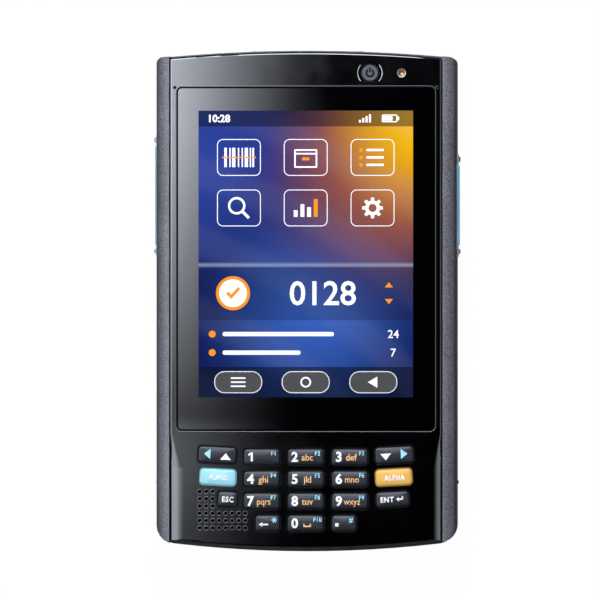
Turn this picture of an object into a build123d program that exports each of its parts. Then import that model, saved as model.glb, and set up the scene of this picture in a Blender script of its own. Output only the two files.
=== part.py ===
from build123d import *
from collections import namedtuple
from math import asin, cos, sin, sqrt
import os

# Portable barcode data terminal, in millimetres.
#
# The terminal lies on its flat back: +Z comes out of the display, +Y points to the end that
# scans and +X to the right of the display. The origin is the middle of the back, at z = 0.
# Lengths, the width and the depth are chains of the pieces that fill them, so a changed piece
# moves its neighbours with it.

# ---------------------------------------------------------------------------------------------
# Driving dimensions
# ---------------------------------------------------------------------------------------------

# Front face, from the bottom end to the top end
chin_height = 7.7                # bottom end to the middle of the lowest key row
row_pitch = 5.95                 # from one key row to the next
row_count = 4
keypad_to_lens = 7.2             # middle of the highest key row to the display lens
lens_length = 92.2
forehead_height = 10.05          # display lens to the top end

# Front face, from the middle to a side
lens_width = 69.2
lens_border = 2.05               # display lens to the seam beside the rail
seam_gap = 0.2                   # between the front cover and a rail
rail_width = 3.6

# Depth, from the back to the front
lid_sink = 0.15                  # battery lid below the flat of the back
lid_thickness = 1.7
lid_rib = 0.4
battery_play = 0.25              # between the lid's ribs and the battery, and above it
battery_thickness = 9.25
bay_roof = 1.2
board_standoff = 2.2
board_thickness = 1.0
component_height = 2.7           # room for parts on the front of the main board
chassis_thickness = 1.0
key_board_thickness = 0.8
key_mat_thickness = 0.6
dome_height = 0.4
key_travel = 0.4
stop_gap = 0.05                  # left between two faces at the end of a travel
stem_length = 0.2
key_flange_thickness = 0.6
cover_wall = 1.8
key_height = 0.5                 # a key's top above the front face

# Outer form
top_arch = 1.6                   # how far the top end bows out between the seams
bottom_arch = 2.2
housing_height = 17.2            # parting line of the rear housing and the front cover
housing_wall = 2.0
end_wall = 2.2
rail_foot = 6.5                  # lowest edge of a rail
rail_foot_gap = 0.2
rail_drop = 0.4                  # a rail's crown below the front face
rail_front_round = 4.5
back_side_round = 8.0
back_end_round = 5.0
front_end_round = 1.0
top_corner = 2.0
bottom_corner = 5.5
cover_top_inset = 0.4            # the front cover's ends behind the rear housing's
cover_bottom_inset = 1.0
cover_corner = 0.8
cover_side_round = 0.6           # beside the lens
keypad_roll_width = 3.6          # from the side inwards, beside the keys
keypad_roll_drop = 1.15          # height that it loses there
roll_start = 1.2                 # below the lens, where the wider round begins
roll_blend = 9.0                 # length over which it grows
cover_end_round = 0.8
slack = 0.02                     # by which a crossing form is larger, so that one form sets each face

# Display
lens_thickness = 1.0
lens_sink = 0.05
lens_corner = 1.2
lens_gap = 0.28
lens_ledge = 2.2                 # how far the cover reaches in under the lens
ledge_thickness = 1.15
touch_thickness = 0.7
lcd_thickness = 2.75
lcd_gap = 0.05                   # between the display module and the touch sensor
lcd_border = 1.0                 # the display module inside the cover's window

# Keys
column_pitch = 11.88
key_size = (9.6, 4.2)
key_corner = 0.6                 # cut off each corner
key_bevel = 0.3
key_gap = 0.3                    # round a key in its aperture
button_gap = 0.15                # round the power key and the status light
key_flange = 0.6                 # how far a key's flange reaches out under the cover
stem_size = (2.6, 1.6)
dome_size = (4.4, 2.8)

# Power key and status light
power_from_lens = 3.95           # middle of both above the display lens
power_inset = 19.35              # from the cover's side
power_radius = 2.375
power_sink = 0.1
power_dish_radius = 3.55
power_dish_depth = 0.35
light_inset = 10.85              # from the cover's side
light_radius = 0.9
light_flange = 0.5
light_ring_radius = 1.25
light_ring_depth = 0.25

# Speaker grille
grille_hole_radius = 0.52
grille_hole_sides = 12           # a small round hole with few faces
grille_pitch = (1.76, 1.96)
grille_corner = (8.05, 16.2)     # first hole: from the cover's side, and from the bottom end
narrow_rows = 3                  # of holes, beside the escape key
wide_rows = 3                    # of holes, beside the backspace key
speaker_lap = 1.14               # speaker beyond the first and the last hole of a row
speaker_size = (5.0, 2.7)
speaker_gap = 0.15

# Side triggers, each end given from the top end of the body
left_trigger_span = (25.5, 52.6)
right_trigger_span = (30.7, 52.7)
trigger_height = 6.6             # across the bar
trigger_middle = 12.4            # of the bar, above the back
trigger_proud = 0.6
trigger_travel = 0.5
trigger_gap = 0.12
trigger_flange = 0.8
trigger_flange_thickness = 0.8
surround_end = 2.9               # bumper at each end of the bar
surround_side = 1.0
surround_proud = 0.25
bumper_proud = 0.8
switch_size = (6.0, 3.4)
switch_board_thickness = 0.8
switch_board_margin = 2.0

# Locating nubs on the rails
nub_from_bottom = 18.6
nub_radius = 0.6
nub_proud = 0.4
nub_length = 3.0

# Battery, its lid and the latch
battery_inset = 14.65            # battery from the cover's side
battery_length = 57.0
battery_gap = 0.3
bay_wall = 2.0
lid_overlap = 1.6                # lid beyond the bay, at each side
lid_gap = 0.2
lid_corner = 2.0
hinge_from_bottom = 17.5
hinge_radius = 1.6
hinge_pin_radius = 0.6
hinge_running_gap = 0.05
hinge_gap = 0.25
knuckle_length = 5.0
knuckle_inset = 7.9              # end of the lid's own knuckle from its edge
latch_zone = 11.0                # lid beyond the bay's top wall
latch_travel = 2.5
latch_reach = 2.1                # of the tongue past the lid, when it is locked
tongue_size = (10.0, 8.0, 1.0)
latch_pad = (9.0, 6.0, 0.65)
latch_pad_margin = 1.0           # from the pad's room to the lid's edge
latch_neck = (3.0, 3.0)
latch_gap = 0.15
pad_depth = 0.8

# Screws, inserts and bosses
screw_boss_radius = 2.2
screw_inset = 4.35               # from the cover's side
screw_ends = (6.0, 7.5)          # from the top end, and from the bottom end
screw_radius = 1.0
screw_head_radius = 1.9
screw_head_height = 1.4
screw_depth = 6.0                # head below the flat of the back
screw_thread = 4.0               # reach into the front cover
screw_hole_gap = 0.15
insert_pitch = 36.0
insert_radius = 2.3
insert_bore = 1.25
insert_length = 4.5
insert_sink = 0.3
insert_boss = 1.4

# Scanning end
scan_window_size = (30.0, 9.0, 1.2)
scan_window_margin = 2.0
scan_window_middle = 8.6
scan_window_sink = 0.1
scan_engine_size = (22.0, 14.0, 11.0)
scan_nose_radius = 3.0
scan_nose_depth = 1.0
bracket_thickness = 0.8
bracket_height = 7.5

# Camera and its flash in the back
camera_from_top = 25.0           # and the strap inserts beside it
camera_window_size = (18.0, 9.0, 1.2)
camera_x = -4.2
flash_x = 5.0
camera_hole_radius = 3.2
flash_hole_radius = 2.0
camera_size = (9.0, 9.0, 5.4)
flash_size = (5.0, 5.0, 1.6)

# Stylus and its silo
stylus_from_bay = 3.1            # axis beyond the wall of the battery bay
stylus_z = 5.2
stylus_radius = 2.0
stylus_length = 92.0
stylus_tip_length = 6.0
stylus_tip_radius = 0.6
stylus_head_length = 2.2
stylus_head_radius = 2.3
stylus_gap = 0.12
silo_wall = 0.8
silo_end_gap = 0.5

# Bottom end: dock connector, headset jack and its door
dock_inset = 30.65               # its middle from the cover's side
dock_size = (26.0, 3.4, 7.0)
dock_middle = 9.2
dock_pins = 18
dock_tongue = (24.0, 1.0, 2.6)
door_inset = 16.25               # from the cover's side
door_size = (12.6, 9.0, 1.5)
door_middle = 10.2
door_depth = 2.6                 # of the recess floor, from the bottom end
door_gap = 0.2
door_barrel_radius = 1.1
door_pin_radius = 0.5
door_pin_length = 1.0
door_corner = 0.8
door_lip_depth = 0.5
jack_from_door = 1.8             # beside the middle of its door
jack_bore_radius = 1.75
jack_bore_length = 14.0
jack_nose_radius = 3.0
jack_nose_length = 2.4
jack_size = (7.0, 6.2, 12.2)
microphone_inset = 11.15         # from the cover's side
microphone_radius = 2.2
microphone_length = 2.0
microphone_hole_radius = 0.45

# Boards and small inner pieces
board_lap = 1.7                  # main board beyond the battery bay, at each side
board_end_gap = 10.0             # main board to each end of the body
chassis_side_gap = 0.4
chassis_end_gap = 1.2
leg_size = 3.4
leg_inset = 4.5
shield_size = (22.0, 2.1)        # length and height
shield_to_leg = 1.6              # to the chassis's legs
shield_gap = 3.0
card_socket_size = (15.0, 14.0)
cell_radius = 5.0
cell_thickness = 2.0
motor_radius = 2.25
motor_length = 12.0
motor_from_bottom = 44.0
ribbon_width = 22.0
ribbon_thickness = 0.25
ribbon_bend = 0.8
ribbon_reach = 3.2
seal_width = 0.9
seal_height = 0.5
contact_size = (12.0, 4.0)
contact_finger = 0.2
seat_gap = 0.1                   # between two pieces that rest against each other

# ---------------------------------------------------------------------------------------------
# Places worked out from the dimensions
# ---------------------------------------------------------------------------------------------

body_length = (chin_height + (row_count - 1) * row_pitch + keypad_to_lens
               + lens_length + forehead_height)
top_y = body_length / 2
bottom_y = -body_length / 2
cover_half = lens_width / 2 + lens_border
rail_inner = cover_half + seam_gap
half_width = rail_inner + rail_width
housing_inner = rail_inner - housing_wall

lens_top = top_y - forehead_height
lens_bottom = lens_top - lens_length
lens_middle = (lens_top + lens_bottom) / 2
power_y = lens_top + power_from_lens
power_x = cover_half - power_inset
light_x = cover_half - light_inset

lid_back = lid_sink
lid_front = lid_back + lid_thickness
battery_back = lid_front + lid_rib + battery_play
bay_front = battery_back + battery_thickness + battery_play
board_back = bay_front + bay_roof + board_standoff
board_front = board_back + board_thickness
chassis_back = board_front + component_height
chassis_front = chassis_back + chassis_thickness
key_board_front = chassis_front + key_board_thickness
key_mat_front = key_board_front + key_mat_thickness
dome_front = key_mat_front + dome_height
stem_back = dome_front + stop_gap + key_travel
flange_back = stem_back + stem_length
flange_front = flange_back + key_flange_thickness
cover_inner = flange_front + stop_gap
face_z = cover_inner + cover_wall
crown_z = face_z - rail_drop

lens_front = face_z - lens_sink
lens_back = lens_front - lens_thickness
ledge_back = lens_back - ledge_thickness
touch_back = lens_back - touch_thickness
lcd_front = touch_back - lcd_gap
lcd_back = lcd_front - lcd_thickness
window_size = (lens_width - 2 * lens_ledge, lens_length - 2 * lens_ledge)
lcd_size = (window_size[0] - 2 * lcd_border, window_size[1] - 2 * lcd_border)

cover_top = top_y - cover_top_inset
cover_bottom = bottom_y + cover_bottom_inset

hinge_y = bottom_y + hinge_from_bottom
hinge_z = lid_back + hinge_radius
bay_bottom = hinge_y + hinge_radius + hinge_gap + bay_wall
bay_top = bay_bottom + battery_length + 2 * battery_gap
battery_half = cover_half - battery_inset
bay_half = battery_half + battery_gap
lid_half = bay_half + lid_overlap
hinge_half = lid_half - knuckle_inset
lid_top = bay_top + latch_zone
tongue_back = lid_front + seat_gap
tongue_front = tongue_back + tongue_size[2]
board_half_width = bay_half + board_lap
stylus_x = bay_half + bay_wall + stylus_from_bay
door_x = door_inset - cover_half
jack_x = door_x + jack_from_door
dock_x = cover_half - dock_inset
microphone_x = cover_half - microphone_inset

screw_x = cover_half - screw_inset
screw_places = [(side * screw_x, y) for side in (-1, 1)
                for y in (top_y - screw_ends[0], bottom_y + screw_ends[1])]
camera_y = top_y - camera_from_top
insert_places = [(side * insert_pitch / 2, camera_y) for side in (-1, 1)]

far = body_length                # longer than anything that it has to cut

# ---------------------------------------------------------------------------------------------
# Keypad layout
# ---------------------------------------------------------------------------------------------

Key = namedtuple("Key", "name x y width height tilt")

side_key_rise = 0.5              # the outer keys sit a little higher than their row
side_key_tilt = 3.0              # degrees, with the outer end up
arrow_key = (23.84, 10.2, 4.4)   # distance from the middle, width and height
mode_key = (23.7, 9.6, 4.3)
escape_key = (21.06, 5.2, 4.05)
enter_key = (23.34, 8.7, 4.05)
edit_key_width = 6.45


def row_y(row):
    """Middle of a key row, counted from the bottom end."""
    return bottom_y + chin_height + row * row_pitch


def digit_key(digit, column, row):
    """A digit key in column -1, 0 or 1."""
    return Key(f"key_{digit}", column * column_pitch, row_y(row), *key_size, 0.0)


def outer_key(name, side, row, place):
    """A key beside the digits, tilted so that its outer end is the higher one."""
    x, width, height = place
    return Key(name, side * x, row_y(row) + side_key_rise, width, height, side * side_key_tilt)


def edit_key(name, side):
    """A short key beside the zero, in line with the outer edge of the digit column above it."""
    x = side * (column_pitch + (key_size[0] - edit_key_width) / 2 - (key_size[0] - edit_key_width))
    return Key(name, x, row_y(0), edit_key_width, key_size[1], 0.0)


def keypad():
    """All keys, row by row from the top."""
    keys = [outer_key("key_left_up", -1, 3, arrow_key), outer_key("key_down_right", 1, 3, arrow_key),
            outer_key("key_func", -1, 2, mode_key), outer_key("key_alpha", 1, 2, mode_key),
            outer_key("key_escape", -1, 1, escape_key), outer_key("key_enter", 1, 1, enter_key),
            edit_key("key_backspace", -1), edit_key("key_point", 1), digit_key(0, 0, 0)]
    for digit in range(1, 10):
        keys.append(digit_key(digit, (digit - 1) % 3 - 1, 3 - (digit - 1) // 3))
    return keys


# ---------------------------------------------------------------------------------------------
# Basic shapes
# ---------------------------------------------------------------------------------------------

def block(x0, x1, y0, y1, z0, z1):
    """A box between two corners."""
    return Pos((x0 + x1) / 2, (y0 + y1) / 2, (z0 + z1) / 2) * Box(x1 - x0, y1 - y0, z1 - z0)


def plate(size, middle, z0, z1, corner=0.0, tilt=0.0):
    """A flat plate, with rounded corners where corner is given."""
    outline = RectangleRounded(*size, corner) if corner else Rectangle(*size)
    return extrude(Pos(*middle, z0) * Rot(0, 0, tilt) * outline, amount=z1 - z0)


def post(radius, middle, z0, z1):
    """A round post along Z."""
    return Pos(*middle, (z0 + z1) / 2) * Cylinder(radius, z1 - z0)


def rod_x(radius, y, z, x0, x1):
    """A round rod along X."""
    return Pos((x0 + x1) / 2, y, z) * Rot(0, 90, 0) * Cylinder(radius, x1 - x0)


def rod_y(radius, x, z, y0, y1):
    """A round rod along Y."""
    return Pos(x, (y0 + y1) / 2, z) * Rot(90, 0, 0) * Cylinder(radius, y1 - y0)


def both_sides(shape):
    """A shape and its mirror image across the middle."""
    return shape + mirror(shape, about=Plane.YZ)


def arch_radius(rise):
    """Radius of an end that rises so far between the seams."""
    return (cover_half ** 2 + rise ** 2) / (2 * rise)


def arch_drop(x, rise):
    """How far an arched end falls back at a distance from the middle."""
    radius = arch_radius(rise)
    return radius - sqrt(radius ** 2 - x ** 2)


def arched_outline(half, top, bottom):
    """Outline seen from the front: straight sides, arched ends and sharp corners."""
    top_side = top - arch_drop(half, top_arch)
    bottom_side = bottom + arch_drop(half, bottom_arch)
    return make_face([
        Line((half, bottom_side), (half, top_side)),
        ThreePointArc((half, top_side), (0, top), (-half, top_side)),
        Line((-half, top_side), (-half, bottom_side)),
        ThreePointArc((-half, bottom_side), (0, bottom), (half, bottom_side)),
    ])


def plan(half, top, bottom, top_round, bottom_round):
    """The same outline with rounded corners."""
    face = arched_outline(half, top, bottom)
    corners = face.vertices().sort_by(Axis.Y)
    face = fillet(corners[2:], top_round)
    return fillet(face.vertices().sort_by(Axis.Y)[:2], bottom_round)


def section(half, back, front, back_round, front_round):
    """Cross-section or long section of the body, drawn with its height along the second axis."""
    outline = Pos(0, (back + front) / 2) * Rectangle(2 * half, front - back)
    outline = fillet(outline.vertices().sort_by(Axis.Y)[:2], back_round)
    return fillet(outline.vertices().sort_by(Axis.Y)[-2:], front_round)


def envelope(side=0.0, end=0.0, back=0.0, edge=0.0):
    """The body's outer form, moved inwards; edge makes its rounded corners that much tighter."""
    flat = extrude(plan(half_width - side + slack, top_y - end, bottom_y + end,
                        max(top_corner - edge, 0.5), bottom_corner - edge), amount=far, both=True)
    cross = extrude(Plane.XZ * section(half_width - side, back, crown_z,
                                       back_side_round - edge, rail_front_round), amount=far, both=True)
    long = extrude(Plane.YZ * section(top_y - end + slack, back - slack, crown_z + slack,
                                      back_end_round - edge, front_end_round), amount=far, both=True)
    return cross & flat & long


def tapered(outline, z0, z1, bevel):
    """An upright plate whose front edge is bevelled."""
    body = extrude(Pos(0, 0, z0) * outline, amount=z1 - z0)
    return chamfer(body.faces().sort_by(Axis.Z)[-1].edges(), bevel)


# ---------------------------------------------------------------------------------------------
# Front cover and what it carries
# ---------------------------------------------------------------------------------------------

def cover_plan(inset):
    """Outline of the front cover, moved inwards."""
    corner = max(cover_corner - inset, cover_corner / 2)
    return plan(cover_half - inset, cover_top - inset, cover_bottom + inset, corner, corner)


def cover_section(width, drop):
    """Cross-section of the front cover whose sides fall off over a width by a drop."""
    radius = (width ** 2 + drop ** 2) / (2 * drop)
    half_angle = asin(min(width / radius, 1.0)) / 2
    start, end = (cover_half, face_z - drop), (cover_half - width, face_z)
    middle = (end[0] + radius * sin(half_angle), face_z - radius + radius * cos(half_angle))
    left = [(-x, z) for x, z in (end, middle, start)]
    return make_face([
        Line((cover_half, 0), start), ThreePointArc(start, middle, end), Line(end, left[0]),
        ThreePointArc(*left), Line(left[2], (-cover_half, 0)), Line((-cover_half, 0), (cover_half, 0)),
    ])


def side_roll():
    """The cover's rolled sides: a small round beside the lens that widens beside the keys."""
    start = lens_bottom - roll_start
    narrow = Plane.XZ.offset(-start) * cover_section(cover_side_round, cover_side_round)
    wide = Plane.XZ.offset(roll_blend - start) * cover_section(keypad_roll_width, keypad_roll_drop)
    return extrude(narrow, amount=-far) + loft([narrow, wide], ruled=True) + extrude(wide, amount=far)


def cover_block():
    """The front cover before it is hollowed, with rolled sides and rounded ends."""
    body = extrude(Pos(0, 0, housing_height) * arched_outline(cover_half + slack, cover_top, cover_bottom),
                   amount=face_z + slack - housing_height)
    front_edges = body.faces().sort_by(Axis.Z)[-1].edges()
    body = fillet(front_edges.filter_by(GeomType.CIRCLE), cover_end_round)
    corners = extrude(Pos(0, 0, housing_height) * cover_plan(-slack), amount=face_z)
    return body & corners & side_roll()


def grille_columns(key):
    """How many holes of a row find room between the cover's side and a key's flange."""
    room = key.x - key.width / 2 - key_flange - grille_hole_radius - (grille_corner[0] - cover_half)
    return 1 + max(int(room // grille_pitch[0]), 0)


def grille_holes():
    """The speaker grille: an L-shaped field of small holes."""
    first = (grille_corner[0] - cover_half, bottom_y + grille_corner[1])
    counts = ([grille_columns(outer_key("key_escape", -1, 1, escape_key))] * narrow_rows
              + [grille_columns(edit_key("key_backspace", -1))] * wide_rows)
    places = [(first[0] + column * grille_pitch[0], first[1] - row * grille_pitch[1])
              for row, count in enumerate(counts) for column in range(count)]
    hole = RegularPolygon(grille_hole_radius, grille_hole_sides)
    return [extrude(Pos(x, y, cover_inner) * hole, amount=cover_wall) for x, y in places]


def front_cover(keys):
    """Moulded front housing with the lens seat, the key apertures and the speaker grille."""
    cavity = extrude(Pos(0, 0, housing_height) * cover_plan(cover_wall),
                     amount=cover_inner - housing_height)
    seat = plate((lens_width, lens_length), (0, lens_middle), ledge_back, cover_inner)
    bosses = [post(screw_boss_radius, place, housing_height, cover_inner) for place in screw_places]
    cover = cover_block() - cavity + seat + bosses
    pocket_size = (lens_width + 2 * lens_gap, lens_length + 2 * lens_gap)
    cuts = [plate(pocket_size, (0, lens_middle), lens_back, face_z, lens_corner + lens_gap),
            plate(window_size, (0, lens_middle), ledge_back, lens_back, lens_corner)]
    cuts += [extrude(Pos(0, 0, cover_inner) * key_outline(key, key_gap), amount=cover_wall)
             for key in keys]
    cuts += grille_holes()
    dish = (post(power_dish_radius, (power_x, power_y), face_z - power_dish_depth, face_z)
            & plate((3 * power_radius, 2 * power_radius), (power_x, power_y),
                    face_z - power_dish_depth, face_z))
    cuts += [dish, post(power_radius + button_gap, (power_x, power_y), cover_inner, face_z),
             post(light_radius + button_gap, (light_x, power_y), cover_inner, face_z),
             post(light_ring_radius, (light_x, power_y), face_z - light_ring_depth, face_z)]
    cuts += [post(screw_radius, place, housing_height, housing_height + screw_thread)
             for place in screw_places]
    return cover - cuts


def display_lens():
    """The flush window in front of the display."""
    outline = Pos(0, lens_middle) * RectangleRounded(lens_width, lens_length, lens_corner)
    return tapered(outline, lens_back, lens_front, lens_thickness / 5)


def touch_sensor():
    """The glass touch sensor on the back of the lens."""
    size = (lcd_size[0] + lcd_border, lcd_size[1] + lcd_border)
    return plate(size, (0, lens_middle), touch_back, lens_back)


def lcd_module():
    """The display in its metal tray, with a bevelled front rim."""
    tray = plate(lcd_size, (0, lens_middle), lcd_back, lcd_front)
    return chamfer(tray.faces().sort_by(Axis.Z)[-1].edges(), lcd_border / 3)


def key_outline(key, gap=0.0):
    """Outline of a key's top, or of the aperture round it."""
    outline = Rectangle(key.width + 2 * gap, key.height + 2 * gap)
    outline = chamfer(outline.vertices(), key_corner + gap / 2)
    return Pos(key.x, key.y) * Rot(0, 0, key.tilt) * outline


def key_cap(key):
    """A key: its top, the flange that keeps it in, and the stem over its dome."""
    cap = tapered(key_outline(key), flange_front, face_z + key_height, key_bevel)
    flange_size = (key.width + 2 * key_flange, key.height + 2 * key_flange)
    flange = plate(flange_size, (key.x, key.y), flange_back, flange_front, 0.0, key.tilt)
    return cap + flange + plate(stem_size, (key.x, key.y), stem_back, flange_back, 0.0, key.tilt)


def power_key():
    """The round power key in its dish."""
    place = (power_x, power_y)
    cap = chamfer(post(power_radius, place, flange_front, face_z - power_sink)
                  .faces().sort_by(Axis.Z)[-1].edges(), key_bevel)
    return (cap + post(power_radius + key_flange, place, flange_back, flange_front)
            + plate(stem_size, place, stem_back, flange_back))


def led_light_pipe():
    """The clear rod that brings the status light to the front."""
    place = (light_x, power_y)
    return (post(light_radius, place, flange_front, face_z - light_ring_depth)
            + post(light_radius + light_flange, place, dome_front, flange_front))


def keypad_region(z0, z1):
    """The room under the keys, clear of the speaker and the screw bosses."""
    top = lens_bottom - lens_ledge
    half = screw_x - screw_boss_radius - chassis_side_gap
    bottom = cover_bottom + cover_wall + arch_drop(half, bottom_arch) + chassis_end_gap / 2
    _, speaker_right, _, speaker_top = speaker_region()
    body = block(-half, half, bottom, top, z0, z1)
    return body - block(-far, speaker_right + seat_gap, -far, speaker_top + seat_gap, z0, z1)


def keypad_board():
    """The circuit board under the keys."""
    return keypad_region(chassis_front, key_board_front)


def keypad_mat(keys):
    """The silicone mat with a dome under each key."""
    domes = [plate(dome_size, (key.x, key.y), key_mat_front, dome_front, 0.0, key.tilt) for key in keys]
    return keypad_region(key_board_front, key_mat_front) + domes


def button_board():
    """The small board with the power key's switch and the status light."""
    middle_x = (power_x + light_x) / 2
    size = (light_x - power_x + 2 * (light_radius + light_flange), 2 * (light_radius + light_flange))
    board = plate(size, (middle_x, power_y), chassis_front, key_board_front)
    switch = plate(dome_size, (power_x, power_y), key_board_front, dome_front)
    light = plate((stem_size[1], stem_size[1]), (light_x, power_y), key_board_front, key_mat_front)
    return board + switch + light


def speaker_region():
    """Left, right, bottom and top of the speaker, under the full rows of the grille."""
    left = grille_corner[0] - cover_half
    right = left + (grille_columns(edit_key("key_backspace", -1)) - 1) * grille_pitch[0]
    middle_row = narrow_rows + (wide_rows - 1) / 2
    middle_y = bottom_y + grille_corner[1] - middle_row * grille_pitch[1]
    return (left - speaker_lap, right + speaker_lap,
            middle_y - speaker_size[0] / 2, middle_y + speaker_size[0] / 2)


def speaker():
    """The oblong speaker behind the grille."""
    left, right, bottom, top = speaker_region()
    front = cover_inner - speaker_gap
    basket = block(left, right, bottom, top, front - speaker_size[1], front)
    return chamfer(basket.edges().filter_by(Axis.Z), speaker_size[0] / 4)


# ---------------------------------------------------------------------------------------------
# Rear housing, rails and what they carry
# ---------------------------------------------------------------------------------------------

def trigger_span(side):
    """Bottom and top of a trigger's bar along the side."""
    span = right_trigger_span if side > 0 else left_trigger_span
    return top_y - span[1], top_y - span[0]


def side_block(side, x0, x1, y0, y1, z0, z1):
    """A box given by its distances from the middle, on the right or the left."""
    return block(min(side * x0, side * x1), max(side * x0, side * x1), y0, y1, z0, z1)


def rail(side):
    """A side rail with the trigger's window and a locating nub."""
    body = envelope() & side_block(side, rail_inner, far, -far, far, rail_foot, far)
    bottom, top = trigger_span(side)
    half = trigger_height / 2 + surround_side
    window = side_block(side, rail_inner, far, bottom - surround_end, top + surround_end,
                        trigger_middle - half, trigger_middle + half)
    nub_x = half_width + nub_proud - nub_radius
    nub = Pos(side * nub_x, bottom_y + nub_from_bottom, trigger_middle) * Cylinder(nub_radius, nub_length)
    return body - window + nub


def trigger_surround(side):
    """The collar round a trigger, with a bumper past each end of the bar."""
    bottom, top = trigger_span(side)
    half = trigger_height / 2
    outer = half_width + surround_proud
    collar = side_block(side, rail_inner, outer, bottom - surround_end, top + surround_end,
                        trigger_middle - half - surround_side, trigger_middle + half + surround_side)
    inset = surround_end / 4
    for low, high in ((bottom - surround_end + inset, bottom - inset),
                      (top + inset, top + surround_end - inset)):
        bumper = side_block(side, outer, half_width + bumper_proud, low, high,
                            trigger_middle - half, trigger_middle + half)
        crest = bumper.faces().sort_by(Axis.X)[-1 if side > 0 else 0]
        collar += chamfer(crest.edges(), (bumper_proud - surround_proud) / 2)
    slot = side_block(side, rail_inner, outer, bottom, top, trigger_middle - half, trigger_middle + half)
    room = side_block(side, rail_inner, trigger_flange_front() + stop_gap,
                      bottom - trigger_flange - trigger_gap, top + trigger_flange + trigger_gap,
                      trigger_middle - half - trigger_flange, trigger_middle + half + trigger_flange)
    return collar - slot - room


def trigger_flange_front():
    """Outer face of a trigger's flange, from the middle of the body."""
    return (rail_inner + contact_finger + stop_gap + trigger_travel + trigger_flange_thickness)


def trigger(side):
    """The bar that the finger presses, kept in by its flange."""
    bottom, top = trigger_span(side)
    half = trigger_height / 2 - trigger_gap
    outer = half_width + trigger_proud
    bar = side_block(side, trigger_flange_front(), outer, bottom + trigger_gap, top - trigger_gap,
                     trigger_middle - half, trigger_middle + half)
    crest = bar.faces().sort_by(Axis.X)[-1 if side > 0 else 0]
    bar = chamfer(crest.edges(), trigger_proud / 2)
    reach = trigger_flange - trigger_gap
    flange = side_block(side, trigger_flange_front() - trigger_flange_thickness, trigger_flange_front(),
                        bottom - reach, top + reach,
                        trigger_middle - half - reach, trigger_middle + half + reach)
    return bar + flange


def trigger_switch(side):
    """The switch behind a trigger, on a small board against the housing's wall."""
    middle_y = sum(trigger_span(side)) / 2
    half_y, half_z = switch_size[0] / 2, switch_size[1] / 2
    switch = side_block(side, housing_inner, rail_inner + contact_finger, middle_y - half_y,
                        middle_y + half_y, trigger_middle - half_z, trigger_middle + half_z)
    margin = switch_board_margin
    board = side_block(side, housing_inner - switch_board_thickness, housing_inner,
                       middle_y - half_y - margin, middle_y + half_y + margin,
                       trigger_middle - half_z - margin / 2, trigger_middle + half_z + margin / 2)
    return switch + board


def housing_shell():
    """The rear housing's outer form, hollowed, between the rails."""
    body = envelope() & block(-far, far, -far, far, 0, housing_height)
    sides = both_sides(block(rail_inner, far, -far, far, rail_foot - rail_foot_gap, far))
    cavity = envelope(rail_width + housing_wall, end_wall, housing_wall, housing_wall)
    return body - sides - cavity


def battery_bay_walls():
    """The walls and the roof of the battery bay, the hinge well and the latch well."""
    outer = bay_half + bay_wall
    bay = block(-outer, outer, bay_bottom - bay_wall, bay_top + bay_wall, 0, bay_front + bay_roof)
    well_half = hinge_half + 2 * knuckle_length
    hinge_well = block(-well_half, well_half, hinge_y - hinge_radius - hinge_gap - bay_wall,
                       bay_bottom, 0, 2 * hinge_radius + hinge_gap + bay_wall)
    latch_half = tongue_size[0] / 2 + 2 * bay_wall
    latch_well = block(-latch_half, latch_half, bay_top, lid_top + latch_reach + bay_wall,
                       0, tongue_front + bay_wall)
    stand_offs = [plate((leg_size, leg_size), place, bay_front, board_back) for place in leg_places()]
    return [bay, hinge_well, latch_well, *stand_offs]


def leg_places():
    """Where the main board stands on the bay's roof, and the chassis on the board."""
    x = bay_half - leg_inset
    return [(side * x, y) for side in (-1, 1) for y in (bay_bottom + leg_inset, bay_top - leg_inset)]


def battery_bay_cuts():
    """The bay, the lid's recess, and the room for the hinge and the latch."""
    recess_half = lid_half + lid_gap
    recess = block(-recess_half, recess_half, bay_bottom - bay_wall, lid_top + lid_gap, 0, lid_front)
    bay = block(-bay_half, bay_half, bay_bottom, bay_top, 0, bay_front)
    room = hinge_radius + hinge_gap
    hinge = block(-hinge_half - hinge_gap - knuckle_length, hinge_half + hinge_gap + knuckle_length,
                  hinge_y - room, hinge_y + room, 0, hinge_z + room)
    tongue_half = tongue_size[0] / 2 + latch_gap
    latch = block(-tongue_half, tongue_half, bay_top + bay_wall, lid_top + lid_gap,
                  0, tongue_front + latch_gap)
    keeper = block(-tongue_half, tongue_half, lid_top, lid_top + latch_reach + latch_gap,
                   tongue_back - latch_gap, tongue_front + latch_gap)
    contacts = block(-contact_size[0] / 2, contact_size[0] / 2, bay_bottom - bay_wall, bay_bottom,
                     battery_middle() - contact_size[1] / 2, battery_middle() + contact_size[1] / 2)
    return [recess, bay, hinge, latch, keeper, contacts]


def battery_middle():
    """Height of the battery's middle above the back."""
    return battery_back + battery_thickness / 2


def housing_knuckles():
    """The two hinge knuckles that carry the lid's pin."""
    start = hinge_half + hinge_gap
    knuckle = rod_x(hinge_radius, hinge_y, hinge_z, start, start + knuckle_length)
    web = block(start, start + knuckle_length, hinge_y - hinge_radius, hinge_y + hinge_radius,
                hinge_z, hinge_z + hinge_radius + hinge_gap)
    bore = rod_x(hinge_pin_radius, hinge_y, hinge_z, start, start + knuckle_length)
    return both_sides(knuckle + web - bore)


def silo_end():
    """Inner end of the stylus silo."""
    return top_y - end_wall - stylus_length - silo_end_gap


def silo_wall_tube():
    """The tube round the stylus, from the top end inwards."""
    inner = silo_end()
    return rod_y(stylus_radius + stylus_gap + silo_wall, stylus_x, stylus_z, inner - silo_wall,
                 top_y - end_wall)


def silo_cuts():
    """The stylus bore, and the wider mouth for its head."""
    mouth = stylus_head_length + stylus_gap
    return [rod_y(stylus_radius + stylus_gap, stylus_x, stylus_z, silo_end(), top_y),
            rod_y(stylus_head_radius + stylus_gap, stylus_x, stylus_z, silo_mouth() - mouth, top_y)]


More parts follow.
